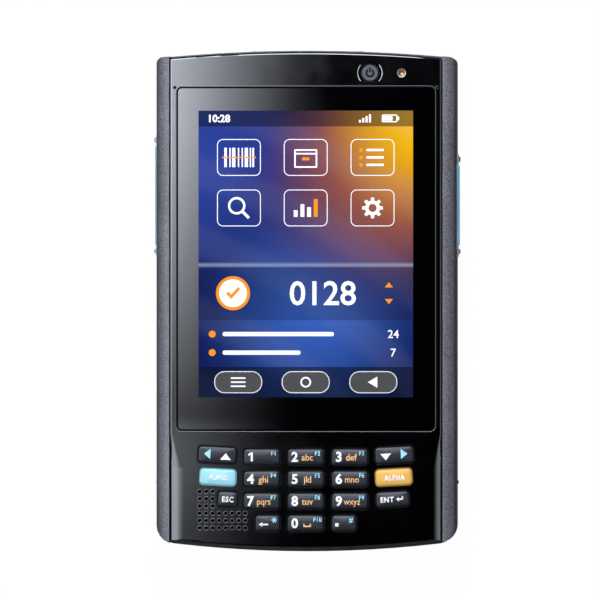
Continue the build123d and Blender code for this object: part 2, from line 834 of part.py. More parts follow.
def silo_mouth():
    """Where the stylus's head ends flush with the top end."""
    return top_y - arch_drop(stylus_x + stylus_head_radius, top_arch) - stylus_gap


def camera_cuts():
    """The camera window's seat, and the holes for the camera and its flash."""
    seat = plate((camera_window_size[0] + 2 * seat_gap, camera_window_size[1] + 2 * seat_gap),
                 (0, camera_y), 0, camera_window_size[2] + seat_gap, camera_window_size[1] / 2)
    return [seat, post(camera_hole_radius, (camera_x, camera_y), 0, housing_wall),
            post(flash_hole_radius, (flash_x, camera_y), 0, housing_wall)]


def scan_window_face():
    """Outer face of the scan window, along Y."""
    return top_y - arch_drop(scan_window_size[0] / 2, top_arch) - scan_window_sink


def scan_window_cuts():
    """The scan window's seat and the opening behind it."""
    half_x, half_z = scan_window_size[0] / 2, scan_window_size[1] / 2
    floor_y = scan_window_face() - scan_window_size[2]
    seat = block(-half_x - seat_gap, half_x + seat_gap, floor_y, top_y,
                 scan_window_middle - half_z - seat_gap, scan_window_middle + half_z + seat_gap)
    margin = scan_window_margin
    opening = block(-half_x + margin, half_x - margin, top_y - 2 * end_wall, top_y,
                    scan_window_middle - half_z + margin / 2, scan_window_middle + half_z - margin / 2)
    return [seat, opening]


def door_span():
    """Left and right edge of the door's recess."""
    half = door_size[0] / 2 + door_gap
    return door_x - half, door_x + half


def door_axis():
    """The door's hinge axis, as x and y."""
    left = door_x - door_size[0] / 2
    return left + door_barrel_radius, door_face() + door_barrel_radius


def door_face():
    """Outer face of the door, along Y."""
    return bottom_y + door_depth - door_size[2]


def door_recess_floor():
    """Floor of the recess that the door closes, along Y."""
    return bottom_y + door_depth + seat_gap


def door_cuts():
    """The door's recess, the groove for its barrel and the holes for its pin."""
    left, right = door_span()
    low = door_middle - door_size[1] / 2 - door_gap
    high = door_middle + door_size[1] / 2 + door_gap
    recess = block(left, right, -far, door_recess_floor(), low, high)
    x, y = door_axis()
    room = door_barrel_radius + door_gap
    groove = block(x - room, x + room, -far, y + room, low, high)
    pin = Pos(x, y, door_middle) * Cylinder(door_pin_radius + hinge_running_gap,
                                            door_size[1] + 2 * door_gap + 2 * door_pin_length)
    nose = rod_y(jack_nose_radius + seat_gap, jack_x, door_middle, door_recess_floor(),
                 door_recess_floor() + 2 * end_wall)
    return [recess, groove, pin, nose]


def door_pad():
    """The thicker wall behind the door."""
    left, right = door_span()
    _, axis_y = door_axis()
    inner = axis_y + door_barrel_radius + door_gap + bay_wall / 2
    return block(left - bay_wall, right + bay_wall, bottom_y + end_wall / 2, inner,
                 housing_wall, door_middle + door_size[1] / 2 + bay_wall)


def dock_cut():
    """The slot for the dock connector in the bottom wall."""
    half_x, half_z = dock_size[0] / 2, dock_size[1] / 2
    return block(dock_x - half_x - seat_gap, dock_x + half_x + seat_gap, -far, bottom_y + 2 * end_wall,
                 dock_middle - half_z - seat_gap, dock_middle + half_z + seat_gap)


def rear_housing():
    """The moulded tub with the battery bay, the bosses, the silo and the end openings."""
    inside = envelope(rail_width + seam_gap, end_wall / 2, 0, housing_wall / 2)
    room = inside & block(-far, far, -far, far, 0, housing_height)
    bosses = [post(screw_boss_radius, place, 0, housing_height) for place in screw_places]
    bosses += [post(insert_radius + insert_boss, place, 0, insert_length + insert_sink + insert_boss)
               for place in insert_places]
    inner = Part() + [*battery_bay_walls(), *bosses, silo_wall_tube(), door_pad()]
    body = housing_shell() + (inner & room)
    cuts = [*battery_bay_cuts(), *silo_cuts(), *camera_cuts(), *scan_window_cuts(), *door_cuts(),
            dock_cut()]
    for place in screw_places:
        cuts += [post(screw_head_radius + screw_hole_gap, place, 0, screw_depth + screw_head_height),
                 post(screw_radius + screw_hole_gap, place, 0, housing_height)]
    cuts += [post(insert_radius, place, 0, insert_sink + insert_length) for place in insert_places]
    for side in (-1, 1):
        middle_y = sum(trigger_span(side)) / 2
        half_y, half_z = switch_size[0] / 2 + seat_gap, switch_size[1] / 2 + seat_gap
        cuts.append(side_block(side, housing_inner - seat_gap, far, middle_y - half_y,
                               middle_y + half_y, trigger_middle - half_z, trigger_middle + half_z))
    cuts += [seal_ring(0.0), rod_y(microphone_hole_radius, microphone_x, dock_middle, -far,
                                   bottom_y + 2 * end_wall)]
    return body - cuts + housing_knuckles()


def seal_ring(gap):
    """The ring in the parting line, inside its groove by a gap."""
    inset = (cover_wall - seal_width) / 2
    ring = cover_plan(inset + gap) - cover_plan(inset + seal_width - gap)
    return extrude(Pos(0, 0, housing_height - seal_height) * ring, amount=seal_height)


def housing_seal():
    """The silicone seal between the two housings."""
    return seal_ring(seat_gap / 2)


def housing_screws():
    """The screws that close the two housings from the back."""
    screws = []
    for place in screw_places:
        head = post(screw_head_radius, place, screw_depth, screw_depth + screw_head_height)
        shank = post(screw_radius, place, screw_depth + screw_head_height,
                     housing_height + screw_thread)
        screws.append(head + shank)
    return screws


def strap_inserts():
    """The threaded brass inserts for a hand strap."""
    back, front = insert_sink, insert_sink + insert_length
    return [post(insert_radius, place, back, front) - post(insert_bore, place, back, front)
            for place in insert_places]


# ---------------------------------------------------------------------------------------------
# Battery, lid, latch and stylus
# ---------------------------------------------------------------------------------------------

def battery_pack():
    """The removable battery in its plastic frame."""
    pack = plate((2 * battery_half, battery_length), (0, (bay_bottom + bay_top) / 2), battery_back,
                 battery_back + battery_thickness)
    return chamfer(pack.edges().filter_by(Axis.Z), lid_corner / 2)


def battery_contacts():
    """The contact block in the bay's bottom wall, with four sprung fingers."""
    half_x, half_z = contact_size[0] / 2 - seat_gap, contact_size[1] / 2 - seat_gap
    body = block(-half_x, half_x, bay_bottom - bay_wall, bay_bottom,
                 battery_middle() - half_z, battery_middle() + half_z)
    fingers = [block(x - 0.5, x + 0.5, bay_bottom, bay_bottom + contact_finger,
                     battery_middle() - half_z / 2, battery_middle() + half_z / 2)
               for x in (-0.6 * half_x, -0.2 * half_x, 0.2 * half_x, 0.6 * half_x)]
    return body + fingers


def battery_lid():
    """The hinged lid over the battery, ribbed inside, with the latch's slot."""
    notch = hinge_y + hinge_radius + hinge_gap + bay_wall
    panel = plate((2 * lid_half, lid_top - notch), (0, (lid_top + notch) / 2), lid_back, lid_front)
    corners = panel.edges().filter_by(Axis.Z).sort_by(Axis.Y)[-2:]
    panel = fillet(corners, lid_corner)
    tongue = block(-hinge_half, hinge_half, hinge_y, notch, lid_back, lid_front)
    barrel = rod_x(hinge_radius, hinge_y, hinge_z, -hinge_half, hinge_half)
    rib_margin = 2 * bay_wall
    ribs = [block(-bay_half + rib_margin, bay_half - rib_margin, y, y + lid_rib, lid_front,
                  lid_front + lid_rib)
            for y in (bay_bottom + rib_margin, (bay_bottom + bay_top) / 2, bay_top - rib_margin)]
    bore = rod_x(hinge_pin_radius + hinge_running_gap, hinge_y, hinge_z, -hinge_half, hinge_half)
    half_pad = latch_pad[0] / 2 + latch_gap
    pad_room = block(-half_pad, half_pad, latch_pad_back() - latch_gap,
                     latch_pad_back() + latch_pad[1] + latch_travel + latch_gap,
                     lid_back, lid_back + pad_depth)
    half_neck = latch_neck[0] / 2 + latch_gap
    slot = block(-half_neck, half_neck, latch_neck_back() - latch_gap,
                 latch_neck_back() + latch_neck[1] + latch_travel + latch_gap, lid_back, lid_front)
    return panel + tongue + barrel + ribs - bore - pad_room - slot


def tongue_end():
    """Where the unlocked tongue ends, behind the lid's edge."""
    return lid_top + latch_reach - latch_travel


def latch_pad_back():
    """Lower edge of the latch's thumb pad, unlocked."""
    return lid_top - latch_pad_margin - latch_gap - latch_travel - latch_pad[1]


def latch_neck_back():
    """Lower edge of the neck that joins the pad and the tongue, unlocked."""
    return latch_pad_back() + (latch_pad[1] - latch_neck[1]) / 2


def lid_latch():
    """The sliding latch: thumb pad outside, neck through the lid, tongue inside."""
    middle_y = latch_pad_back() + latch_pad[1] / 2
    pad_front = lid_back + pad_depth - latch_gap
    pad = plate((latch_pad[0], latch_pad[1]), (0, middle_y), pad_front - latch_pad[2], pad_front)
    grooves = [block(-latch_pad[0] / 2, latch_pad[0] / 2, middle_y + offset - 0.3,
                     middle_y + offset + 0.3, pad_front - latch_pad[2], pad_front - latch_pad[2] / 2)
               for offset in (-1.8, 0.0, 1.8)]
    neck = plate(latch_neck, (0, middle_y), pad_front - latch_pad[2] / 2, tongue_back)
    tongue = block(-tongue_size[0] / 2, tongue_size[0] / 2, tongue_end() - tongue_size[1],
                   tongue_end(), tongue_back, tongue_front)
    return pad - grooves + neck + tongue


def lid_hinge_pin():
    """The steel pin of the lid's hinge."""
    half = hinge_half + hinge_gap + knuckle_length
    return rod_x(hinge_pin_radius, hinge_y, hinge_z, -half, half)


def stylus():
    """The stylus in its silo: head, barrel and a tapered tip."""
    head_end = silo_mouth()
    head = rod_y(stylus_head_radius, stylus_x, stylus_z, head_end - stylus_head_length, head_end)
    tip_start = head_end - stylus_length + stylus_tip_length
    barrel = rod_y(stylus_radius, stylus_x, stylus_z, tip_start, head_end - stylus_head_length)
    tip = (Pos(stylus_x, tip_start - stylus_tip_length / 2, stylus_z) * Rot(90, 0, 0)
           * Cone(stylus_radius, stylus_tip_radius, stylus_tip_length))
    return head + barrel + tip


# ---------------------------------------------------------------------------------------------
# Ends and inner pieces
# ---------------------------------------------------------------------------------------------

def io_door():
    """The hinged rubber door over the headset jack."""
    x, y = door_axis()
    half_z = door_size[1] / 2
    panel = block(x, door_x + door_size[0] / 2, door_face(), door_face() + door_size[2],
                  door_middle - half_z, door_middle + half_z)
    panel = fillet(panel.edges().filter_by(Axis.Y).sort_by(Axis.X)[-2:], door_corner)
    lip = block(door_x + door_size[0] / 2 - 3 * door_lip_depth, door_x + door_size[0] / 2 - door_lip_depth,
                door_face(), door_face() + door_lip_depth, door_middle - half_z / 3,
                door_middle + half_z / 3)
    barrel = Pos(x, y, door_middle) * Cylinder(door_barrel_radius, door_size[1])
    pin = Pos(x, y, door_middle) * Cylinder(door_pin_radius,
                                            door_size[1] + 2 * door_gap + 2 * door_pin_length
                                            - 2 * hinge_running_gap)
    return panel - lip + barrel + pin


def headset_jack():
    """The headset jack: a round nose at the door's recess and a body behind the wall."""
    front = door_recess_floor()
    back = front + jack_nose_length + jack_size[2]
    nose = rod_y(jack_nose_radius, jack_x, door_middle, front, front + jack_nose_length)
    body = block(jack_x - jack_size[0] / 2, jack_x + jack_size[0] / 2, front + jack_nose_length, back,
                 door_middle - jack_size[1] / 2, door_middle + jack_size[1] / 2)
    bore = rod_y(jack_bore_radius, jack_x, door_middle, front, front + jack_bore_length)
    return nose + body - bore


def dock_connector():
    """The connector for a cradle: a shroud with a tongue and its row of contacts."""
    front = bottom_y + arch_drop(dock_x + dock_size[0] / 2, bottom_arch) + seat_gap
    half_x, half_z = dock_size[0] / 2, dock_size[1] / 2
    shroud = block(dock_x - half_x, dock_x + half_x, front, front + dock_size[2],
                   dock_middle - half_z, dock_middle + half_z)
    depth = dock_size[2] / 2
    mouth_x, mouth_z = dock_tongue[0] / 2 + 0.5, dock_tongue[1] / 2 + 0.7
    mouth = block(dock_x - mouth_x, dock_x + mouth_x, front, front + depth,
                  dock_middle - mouth_z, dock_middle + mouth_z)
    tongue = block(dock_x - dock_tongue[0] / 2, dock_x + dock_tongue[0] / 2,
                   front + depth - dock_tongue[2], front + depth,
                   dock_middle - dock_tongue[1] / 2, dock_middle + dock_tongue[1] / 2)
    pitch = dock_tongue[0] / dock_pins
    first = dock_x - dock_tongue[0] / 2 + pitch / 2
    contacts = [block(first + pin * pitch - pitch / 4, first + pin * pitch + pitch / 4,
                      front + depth - dock_tongue[2], front + depth,
                      dock_middle + dock_tongue[1] / 2, dock_middle + dock_tongue[1] / 2 + 0.15)
                for pin in range(dock_pins)]
    flange = block(dock_x - half_x - end_wall / 2, dock_x + half_x + end_wall / 2,
                   bottom_y + arch_drop(dock_x + half_x, bottom_arch) + end_wall + seat_gap,
                   front + dock_size[2], dock_middle - half_z - 0.5, dock_middle + half_z + 0.5)
    return shroud + flange - mouth + tongue + contacts


def microphone():
    """The microphone behind its hole in the bottom wall."""
    wall = bottom_y + end_wall + arch_drop(microphone_x + microphone_radius, bottom_arch) + seat_gap
    return rod_y(microphone_radius, microphone_x, dock_middle, wall, wall + microphone_length)


def scan_engine_front():
    """Front face of the scanning engine, clear of the rounded end of the housing's floor."""
    return top_y - end_wall - (back_end_round - housing_wall)


def scan_engine():
    """The scanning engine: a die-cast body with its lens and its aiming window."""
    width, depth, height = scan_engine_size
    back = housing_wall + bracket_thickness
    front_y = scan_engine_front()
    body = block(-width / 2, width / 2, front_y - depth, front_y, back, back + height)
    body = chamfer(body.edges().filter_by(Axis.Y), bracket_thickness)
    nose = rod_y(scan_nose_radius, -width / 5, back + height / 2, front_y - scan_nose_depth, front_y)
    port = block(width / 8, 3 * width / 8, front_y - scan_nose_depth, front_y,
                 back + height / 3, back + 2 * height / 3)
    return body - nose - port


def scan_bracket():
    """The sheet-metal cradle that carries the scanning engine."""
    width, depth, _ = scan_engine_size
    front_y = scan_engine_front()
    half = width / 2 + seat_gap
    outer = half + bracket_thickness
    base = block(-outer, outer, front_y - depth, front_y, housing_wall, housing_wall + bracket_thickness)
    ear = block(half, outer, front_y - depth, front_y, housing_wall, housing_wall + bracket_height)
    return base + both_sides(ear)


def scan_window():
    """The tinted window in front of the scanning engine."""
    half_x, half_z = scan_window_size[0] / 2, scan_window_size[1] / 2
    face = scan_window_face()
    return block(-half_x, half_x, face - scan_window_size[2], face,
                 scan_window_middle - half_z, scan_window_middle + half_z)


def camera_window():
    """The lens cover over the camera and its flash."""
    width, height, thickness = camera_window_size
    back = seat_gap
    return plate((width, height), (0, camera_y), back, back + thickness,
                 height / 2 - seat_gap)


def camera_module():
    """The camera with its lens barrel, and the flash, on their common board."""
    back = camera_window_size[2] + 2 * seat_gap
    barrel = post(camera_hole_radius - 2 * seat_gap, (camera_x, camera_y), back, housing_wall + seat_gap)
    aperture = post(camera_hole_radius / 3, (camera_x, camera_y), back, back + seat_gap * 3)
    seat = housing_wall + seat_gap
    body = plate(camera_size[:2], (camera_x, camera_y), seat, seat + camera_size[2])
    flash = plate(flash_size[:2], (flash_x, camera_y), seat, seat + flash_size[2])
    board = block(camera_x, flash_x + flash_size[0] / 2, camera_y - flash_size[1] / 2,
                  camera_y + flash_size[1] / 2,
                  seat + flash_size[2], seat + flash_size[2] + key_board_thickness)
    return barrel + body + flash + board - aperture


def board_span():
    """Bottom and top end of the main board."""
    return bottom_y + board_end_gap, lid_top + leg_inset


def main_board():
    """The main circuit board with its larger parts."""
    bottom, top = board_span()
    board = block(-board_half_width, board_half_width, bottom, top, board_back, board_front)
    connector = plate((ribbon_width, 4 * ribbon_reach / 3), (0, ribbon_y() + 2 * ribbon_reach),
                      board_front, board_front + component_height / 3)
    socket = plate(card_socket_size, (0, bottom + card_socket_size[1]), board_front,
                   board_front + component_height / 2)
    return board + connector + socket


def board_shields():
    """The metal cans over the radio, the processor and the memory."""
    length, height = shield_size
    width = bay_half - leg_inset - leg_size / 2 - shield_to_leg - shield_gap / 2
    _, top = board_span()
    middles = [(side * (width + shield_gap) / 2, top - shield_gap - length / 2) for side in (-1, 1)]
    return [plate((width, length), middle, board_front, board_front + height) for middle in middles]


def chassis_span():
    """Bottom and top end of the chassis."""
    half = chassis_half()
    return (cover_bottom + cover_wall + arch_drop(half, bottom_arch) + chassis_end_gap / 2,
            cover_top - cover_wall - arch_drop(half, top_arch) - chassis_end_gap)


def chassis_half():
    """Half the chassis's width, between the screw bosses."""
    return screw_x - screw_boss_radius - chassis_side_gap


def chassis_plate():
    """The metal plate that carries the display and the key board, on legs."""
    bottom, top = chassis_span()
    sheet = block(-chassis_half(), chassis_half(), bottom, top, chassis_back, chassis_front)
    tray = plate((lcd_size[0] - 2 * lcd_border, lcd_size[1] - 2 * lcd_border), (0, lens_middle),
                 chassis_front, lcd_back)
    legs = [plate((leg_size, leg_size), place, board_front, chassis_back) for place in leg_places()]
    slot = block(-ribbon_width / 2 - seat_gap * 5, ribbon_width / 2 + seat_gap * 5,
                 ribbon_y() - ribbon_bend, lens_middle - lcd_size[1] / 2 + 2 * lcd_border,
                 chassis_back, lcd_back)
    return sheet + (tray & block(-chassis_half(), chassis_half(), -far, far, 0, far)) + legs - slot


def ribbon_y():
    """Where the display's ribbon goes down through the chassis."""
    return lens_middle - lcd_size[1] / 2 - lcd_border


def display_ribbon():
    """The ribbon cable from the display to the main board."""
    start_y = lens_middle - lcd_size[1] / 2
    high = (lcd_back + lcd_front) / 2
    low = board_front + component_height / 3 + ribbon_thickness / 2 + seat_gap
    end_y = ribbon_y() + 2 * ribbon_reach
    path = FilletPolyline((start_y, high), (ribbon_y(), high), (ribbon_y(), low), (end_y, low),
                          radius=ribbon_bend)
    return extrude(Plane.YZ * trace(path, ribbon_thickness), amount=ribbon_width / 2, both=True)


def backup_cell():
    """The coin cell that keeps the memory while the battery is changed."""
    bottom, _ = board_span()
    return post(cell_radius, (board_half_width - 1.5 * cell_radius, bottom + 1.5 * cell_radius),
                board_front, board_front + cell_thickness)


def vibration_motor():
    """The vibration motor on the housing's floor beside the bay."""
    x = -(bay_half + bay_wall + motor_radius + 2 * seat_gap)
    y = bottom_y + motor_from_bottom
    return rod_y(motor_radius, x, housing_wall + motor_radius + seat_gap, y, y + motor_length)


# ---------------------------------------------------------------------------------------------
# Assembly
# ---------------------------------------------------------------------------------------------

def build():
    """All nodes by name."""
    keys = keypad()
    nodes = {
        "front_cover": front_cover(keys),
        "display_lens": display_lens(),
        "touch_sensor": touch_sensor(),
        "lcd_module": lcd_module(),
        "power_key": power_key(),
        "led_light_pipe": led_light_pipe(),
        "keypad_board": keypad_board(),
        "keypad_mat": keypad_mat(keys),
        "button_board": button_board(),
        "speaker": speaker(),
        "left_rail": rail(-1),
        "right_rail": rail(1),
        "left_trigger_surround": trigger_surround(-1),
        "right_trigger_surround": trigger_surround(1),
        "left_trigger": trigger(-1),
        "right_trigger": trigger(1),
        "trigger_switches": [trigger_switch(-1), trigger_switch(1)],
        "rear_housing": rear_housing(),
        "housing_seal": housing_seal(),
        "housing_screws": housing_screws(),
        "strap_inserts": strap_inserts(),
        "battery_pack": battery_pack(),
        "battery_contacts": battery_contacts(),
        "battery_lid": battery_lid(),
        "lid_latch": lid_latch(),
        "lid_hinge_pin": lid_hinge_pin(),
        "stylus": stylus(),
        "io_door": io_door(),
        "headset_jack": headset_jack(),
        "dock_connector": dock_connector(),
        "microphone": microphone(),
        "scan_engine": scan_engine(),
        "scan_bracket": scan_bracket(),
        "scan_window": scan_window(),
        "camera_window": camera_window(),
        "camera_module": camera_module(),
        "main_board": main_board(),
        "board_shields": board_shields(),
        "chassis_plate": chassis_plate(),
        "display_ribbon": display_ribbon(),
        "backup_cell": backup_cell(),
        "vibration_motor": vibration_motor(),
    }
    for key in keys:
        nodes[key.name] = key_cap(key)
    return nodes


def main():
    """Write one STEP file per node."""
    os.makedirs("parts", exist_ok=True)
    for name, shape in build().items():
        solids = shape if isinstance(shape, list) else [shape]
        group = Compound(children=[solid for piece in solids for solid in piece.solids()])
        export_step(group, f"parts/{name}.step")


main()
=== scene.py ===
"""Looks of a portable barcode data terminal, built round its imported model.

The terminal lies on its back: +Z comes out of the display, +Y points to the scanning end and +X
to the right of the display. Sizes are in millimetres until they reach a mesh, which is in metres.
"""

from __future__ import annotations

import logging
import math
from dataclasses import dataclass, field
from enum import Enum

import bpy
import numpy as np
from mathutils import Matrix, Vector

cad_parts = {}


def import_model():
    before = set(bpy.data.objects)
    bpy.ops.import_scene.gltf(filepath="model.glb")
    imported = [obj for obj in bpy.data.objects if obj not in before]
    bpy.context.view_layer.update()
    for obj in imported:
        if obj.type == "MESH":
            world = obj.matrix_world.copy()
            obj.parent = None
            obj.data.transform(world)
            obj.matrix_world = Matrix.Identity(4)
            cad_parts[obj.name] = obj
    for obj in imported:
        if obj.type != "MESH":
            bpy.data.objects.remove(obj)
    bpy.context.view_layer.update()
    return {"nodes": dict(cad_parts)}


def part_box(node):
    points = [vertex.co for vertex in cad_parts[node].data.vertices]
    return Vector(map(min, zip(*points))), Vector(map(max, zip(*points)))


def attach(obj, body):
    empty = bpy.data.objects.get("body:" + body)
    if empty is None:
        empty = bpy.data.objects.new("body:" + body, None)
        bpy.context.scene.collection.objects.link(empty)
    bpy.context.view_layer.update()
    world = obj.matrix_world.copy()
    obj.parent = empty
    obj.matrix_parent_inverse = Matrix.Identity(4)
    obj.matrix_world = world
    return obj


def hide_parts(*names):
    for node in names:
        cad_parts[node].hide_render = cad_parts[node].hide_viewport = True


MM = 0.001
ROOT = "terminal"
FACE = 25.0                      # front face above the back
LENS_FRONT = 24.95
log = logging.getLogger("terminal_looks")

Colour = tuple[float, float, float]
Point = tuple[float, float]
Place = tuple[float, float, float]
Ramp = tuple[float, float, float, float]         # two bounds, then the values at them
Socket = bpy.types.NodeSocket


def linear(colour: Colour) -> tuple[float, float, float, float]:
    """Turn a colour of 0 to 255 into the linear values that a shader takes.

    Args:
        colour: Red, green and blue as a screen shows them.

    Returns:
        Linear red, green and blue, and an alpha of 1.
    """
    share = np.asarray(colour, float) / 255
    value = np.where(share <= 0.04045, share / 12.92, ((share + 0.055) / 1.055) ** 2.4)
    return (*value.tolist(), 1.0)


# ------------------------------------------------------------------------------ finishes


class NodeBoard:
    """A material's or world's node tree, with short ways to add and join nodes."""

    def __init__(self, tree: bpy.types.NodeTree) -> None:
        """Start from an empty tree."""
        self.tree = tree
        tree.nodes.clear()

    @classmethod
    def material(cls, name: str) -> tuple[bpy.types.Material, NodeBoard]:
        """Make a material whose tree is still empty.

        Args:
            name: Its name.

        Returns:
            The material, and the board of its tree.
        """
        made = bpy.data.materials.new(name)
        made.use_nodes = True
        return made, cls(made.node_tree)

    def add(self, kind: str, **values: object) -> bpy.types.Node:
        """Add a node and set its inputs or its properties.

        Args:
            kind: The node's type without its ShaderNode prefix.
            values: Inputs by name with underscores for spaces, or properties of the node. An
                output socket given as a value is linked.

        Returns:
            The new node.
        """
        node = self.tree.nodes.new("ShaderNode" + kind)
        for key, value in values.items():
            name = key.replace("_", " ")
            if hasattr(node, key) and name not in node.inputs:
                setattr(node, key, value)
            else:
                self.feed(node.inputs[name], value)
        return node

    def feed(self, socket: Socket, value: object) -> None:
        """Link a socket to an output, or set its value.

        Args:
            socket: The input.
            value: An output, or a number, colour or vector.
        """
        if isinstance(value, Socket):
            self.tree.links.new(value, socket)
        else:
            socket.default_value = value

    def maths(self, operation: str, first: object, *others: object, clamp: bool = False) -> Socket:
        """Add Math nodes that take in the values one by one, from left to right.

        Args:
            operation: What they work out.
            first: The first operand, a number or an output.
            others: The other operands, none for an operation on a single value.
            clamp: Whether each result is kept between 0 and 1.

        Returns:
            The result.
        """
        result = first
        for other in others or (None,):
            node = self.add("Math", operation=operation, use_clamp=clamp)
            self.feed(node.inputs[0], result)
            if other is not None:
                self.feed(node.inputs[1], other)
            result = node.outputs[0]
        return result

    def blend(self, share: object, low: object, high: object) -> Socket:
        """Mix two colours.

        Args:
            share: How much of the second one shows.
            low: The first colour.
            high: The second colour.

        Returns:
            The mixed colour.
        """
        node = self.add("Mix", data_type="RGBA")
        for index, value in ((0, share), (6, low), (7, high)):
            self.feed(node.inputs[index], value)
        return node.outputs[2]

    def spread(self, value: object, low: float, high: float, start: float = 0.0,
               end: float = 1.0) -> Socket:
        """Map a value from one range to another with soft ends.

        Args:
            value: A number or an output.
            low: Lower bound of the value.
            high: Upper bound of the value.
            start: Result at the lower bound.
            end: Result at the upper bound.

        Returns:
            The result.
        """
        node = self.add("MapRange", interpolation_type="SMOOTHSTEP", Value=value)
        bounds = (("From Min", low), ("From Max", high), ("To Min", start), ("To Max", end))
        for name, bound in bounds:
            node.inputs[name].default_value = bound
        return node.outputs[0]

    def between(self, value: Socket, low: float, high: float) -> Socket:
        """Give 1 where the value lies between the bounds and 0 elsewhere."""
        return self.maths("MULTIPLY", self.maths("GREATER_THAN", value, low),
                          self.maths("LESS_THAN", value, high))

    def place(self, scale: Place = (1 / MM,) * 3, location: Place = (0, 0, 0)) -> Socket:
        """Object coordinates, in millimetres unless they are scaled otherwise.

        Args:
            scale: Units in a metre along each axis.
            location: What is added to the scaled coordinates.

        Returns:
            The coordinates.
        """
        mapping = self.add("Mapping", Vector=self.add("TexCoord").outputs["Object"])
        mapping.inputs["Scale"].default_value = scale
        mapping.inputs["Location"].default_value = location
        return mapping.outputs[0]

    def axes(self, spot: Socket) -> list[Socket]:
        """Split a vector into its X, Y and Z."""
        return list(self.add("SeparateXYZ", Vector=spot).outputs)

    def mix(self, share: Socket, first: bpy.types.Node, second: bpy.types.Node) -> bpy.types.Node:
        """Mix two shaders.

        Args:
            share: How much of the second one shows.
            first: The first shader.
            second: The second shader.

        Returns:
            The mixing node.
        """
        node = self.add("MixShader", Fac=share)
        self.feed(node.inputs[1], first.outputs[0])
        self.feed(node.inputs[2], second.outputs[0])
        return node

    def show(self, shader: bpy.types.Node, output: str = "OutputMaterial") -> None:
        """Join a shader to the tree's output."""
        self.feed(self.add(output).inputs[0], shader.outputs[0])


class Grain(Enum):
    """How a moulded or machined surface is textured."""

    POLISHED = "polished"
    SATIN = "satin"
    SPARK = "spark"
    BRUSHED = "brushed"
    CAST = "cast"


FINE_MOTTLE = {Grain.SPARK: 1.9, Grain.CAST: 0.8}    # share of the grain in the colour
PLAIN_MOTTLE = 0.35                                  # the same for the other grains
BROAD_MOTTLE = 0.6                                   # share of the broad patches
PATCH_SCALE = 0.07                                   # broad patches in a millimetre
BRUSH_STRETCH = 0.04                                 # a brushed grain's width by its length
ROUGH_SPAN = 0.25                                    # wander of the roughness, as a share of it
# share and tone of the painted shade that darkens a piece low down
PAINTED_SHADE_SHARE = 0.7
PAINTED_SHADE_TONE = (0.004, 0.004, 0.006, 1.0)
SPARK_PITS = 0.8                                     # height of the pits by that of the grain


@dataclass(frozen=True)
class Finish:
    """A surface finish that becomes one node material.

    Attributes:
        name: Name of the material.
        colour: Its colour, 0 to 255.
        roughness: Middle roughness.
        grain: Kind of surface texture.
        size: Size of the texture's grains.
        depth: Height of the grains.
        variation: How far the colour wanders, as a share of it.
        metal: Whether it is bare metal.
        coat: Strength of a clear coat.
        glow: Light that it gives off by itself, real on the display and the status light, painted
            light on the cyan and orange keys and the triggers.
        specular: Level of the shader's reflection.
        shade: Heights between which the colour goes from painted shade to full, if it does.
    """

    name: str
    colour: Colour
    roughness: float
    grain: Grain
    size: float
    depth: float
    variation: float
    metal: bool = False
    coat: float = 0.0
    glow: float = 0.0
    specular: float = 0.5
    shade: Point | None = None

    def material(self) -> bpy.types.Material:
        """Build the material: mottled colour, uneven roughness and a bump of its grain.

        Returns:
            The node material, made once for each name.
        """
        known = bpy.data.materials.get(self.name)
        if known is not None and known.get("ready"):
            return known
        material, board = NodeBoard.material(self.name)
        material["ready"] = True
        brushed = self.grain is Grain.BRUSHED
        stretch = (1, BRUSH_STRETCH if brushed else 1, 1)
        spot = board.place(tuple(share / self.size / MM for share in stretch))
        fine = board.add("TexNoise", Vector=spot, Scale=1.0, Detail=3.0, Roughness=0.6).outputs[0]
        broad = board.add("TexNoise", Vector=board.place(), Scale=PATCH_SCALE, Detail=2.0,
                          Roughness=0.5).outputs[0]
        shader = board.add("BsdfPrincipled", Base_Color=self.mottle(board, fine, broad))
        span = ROUGH_SPAN * self.roughness
        rough = board.spread(fine, 0.3, 0.7, self.roughness - span, self.roughness + span)
        board.feed(shader.inputs["Roughness"], rough)
        shader.inputs["Metallic"].default_value = 1.0 if self.metal else 0.0
        shader.inputs["Specular IOR Level"].default_value = self.specular
        if self.coat:
            shader.inputs["Coat Weight"].default_value = self.coat
            shader.inputs["Coat Roughness"].default_value = 0.06
        # emission: real light for the display and status light, painted light for keys and triggers
        if self.glow:
            colour = shader.inputs["Base Color"].links[0].from_socket
            board.feed(shader.inputs["Emission Color"], colour)
            shader.inputs["Emission Strength"].default_value = self.glow
        height = fine
        if self.grain is Grain.SPARK:
            pits = board.add("TexVoronoi", Vector=spot, Scale=0.9).outputs[0]
            height = board.maths("ADD", fine, board.maths("MULTIPLY", pits, SPARK_PITS))
        bump = board.add("Bump", Height=height)
        bump.inputs["Strength"].default_value = 0.25 if self.grain is Grain.POLISHED else 0.7
        bump.inputs["Distance"].default_value = self.depth * MM
        board.feed(shader.inputs["Normal"], bump.outputs[0])
        board.show(shader)
        return material

    def mottle(self, board: NodeBoard, fine: Socket, broad: Socket) -> Socket:
        """Let the colour wander with the grain and with broad patches.

        Args:
            board: The material's nodes.
            fine: Noise as fine as the grain.
            broad: Noise of broad patches.

        Returns:
            The mottled colour, with painted shade low on the piece where the finish asks for it.
        """
        fine_share = FINE_MOTTLE.get(self.grain, PLAIN_MOTTLE)
        wander = [board.maths("MULTIPLY", board.maths("SUBTRACT", noise, 0.5), share)
                  for noise, share in ((fine, fine_share), (broad, BROAD_MOTTLE))]
        share = board.maths("ADD", board.maths("ADD", *wander), 0.5, clamp=True)
        base = linear(self.colour)[:3]
        low = tuple(c * (1 - self.variation) for c in base) + (1.0,)
        high = tuple(min(c * (1 + self.variation), 1.0) for c in base) + (1.0,)
        colour = board.blend(share, low, high)
        # painted shade: the colour darkens towards the bottom, below the finish's heights
        if self.shade:
            upright = board.axes(board.place())[2]
            dark = board.spread(upright, *self.shade, PAINTED_SHADE_SHARE, 0.0)
            colour = board.blend(dark, colour, PAINTED_SHADE_TONE)
        return colour


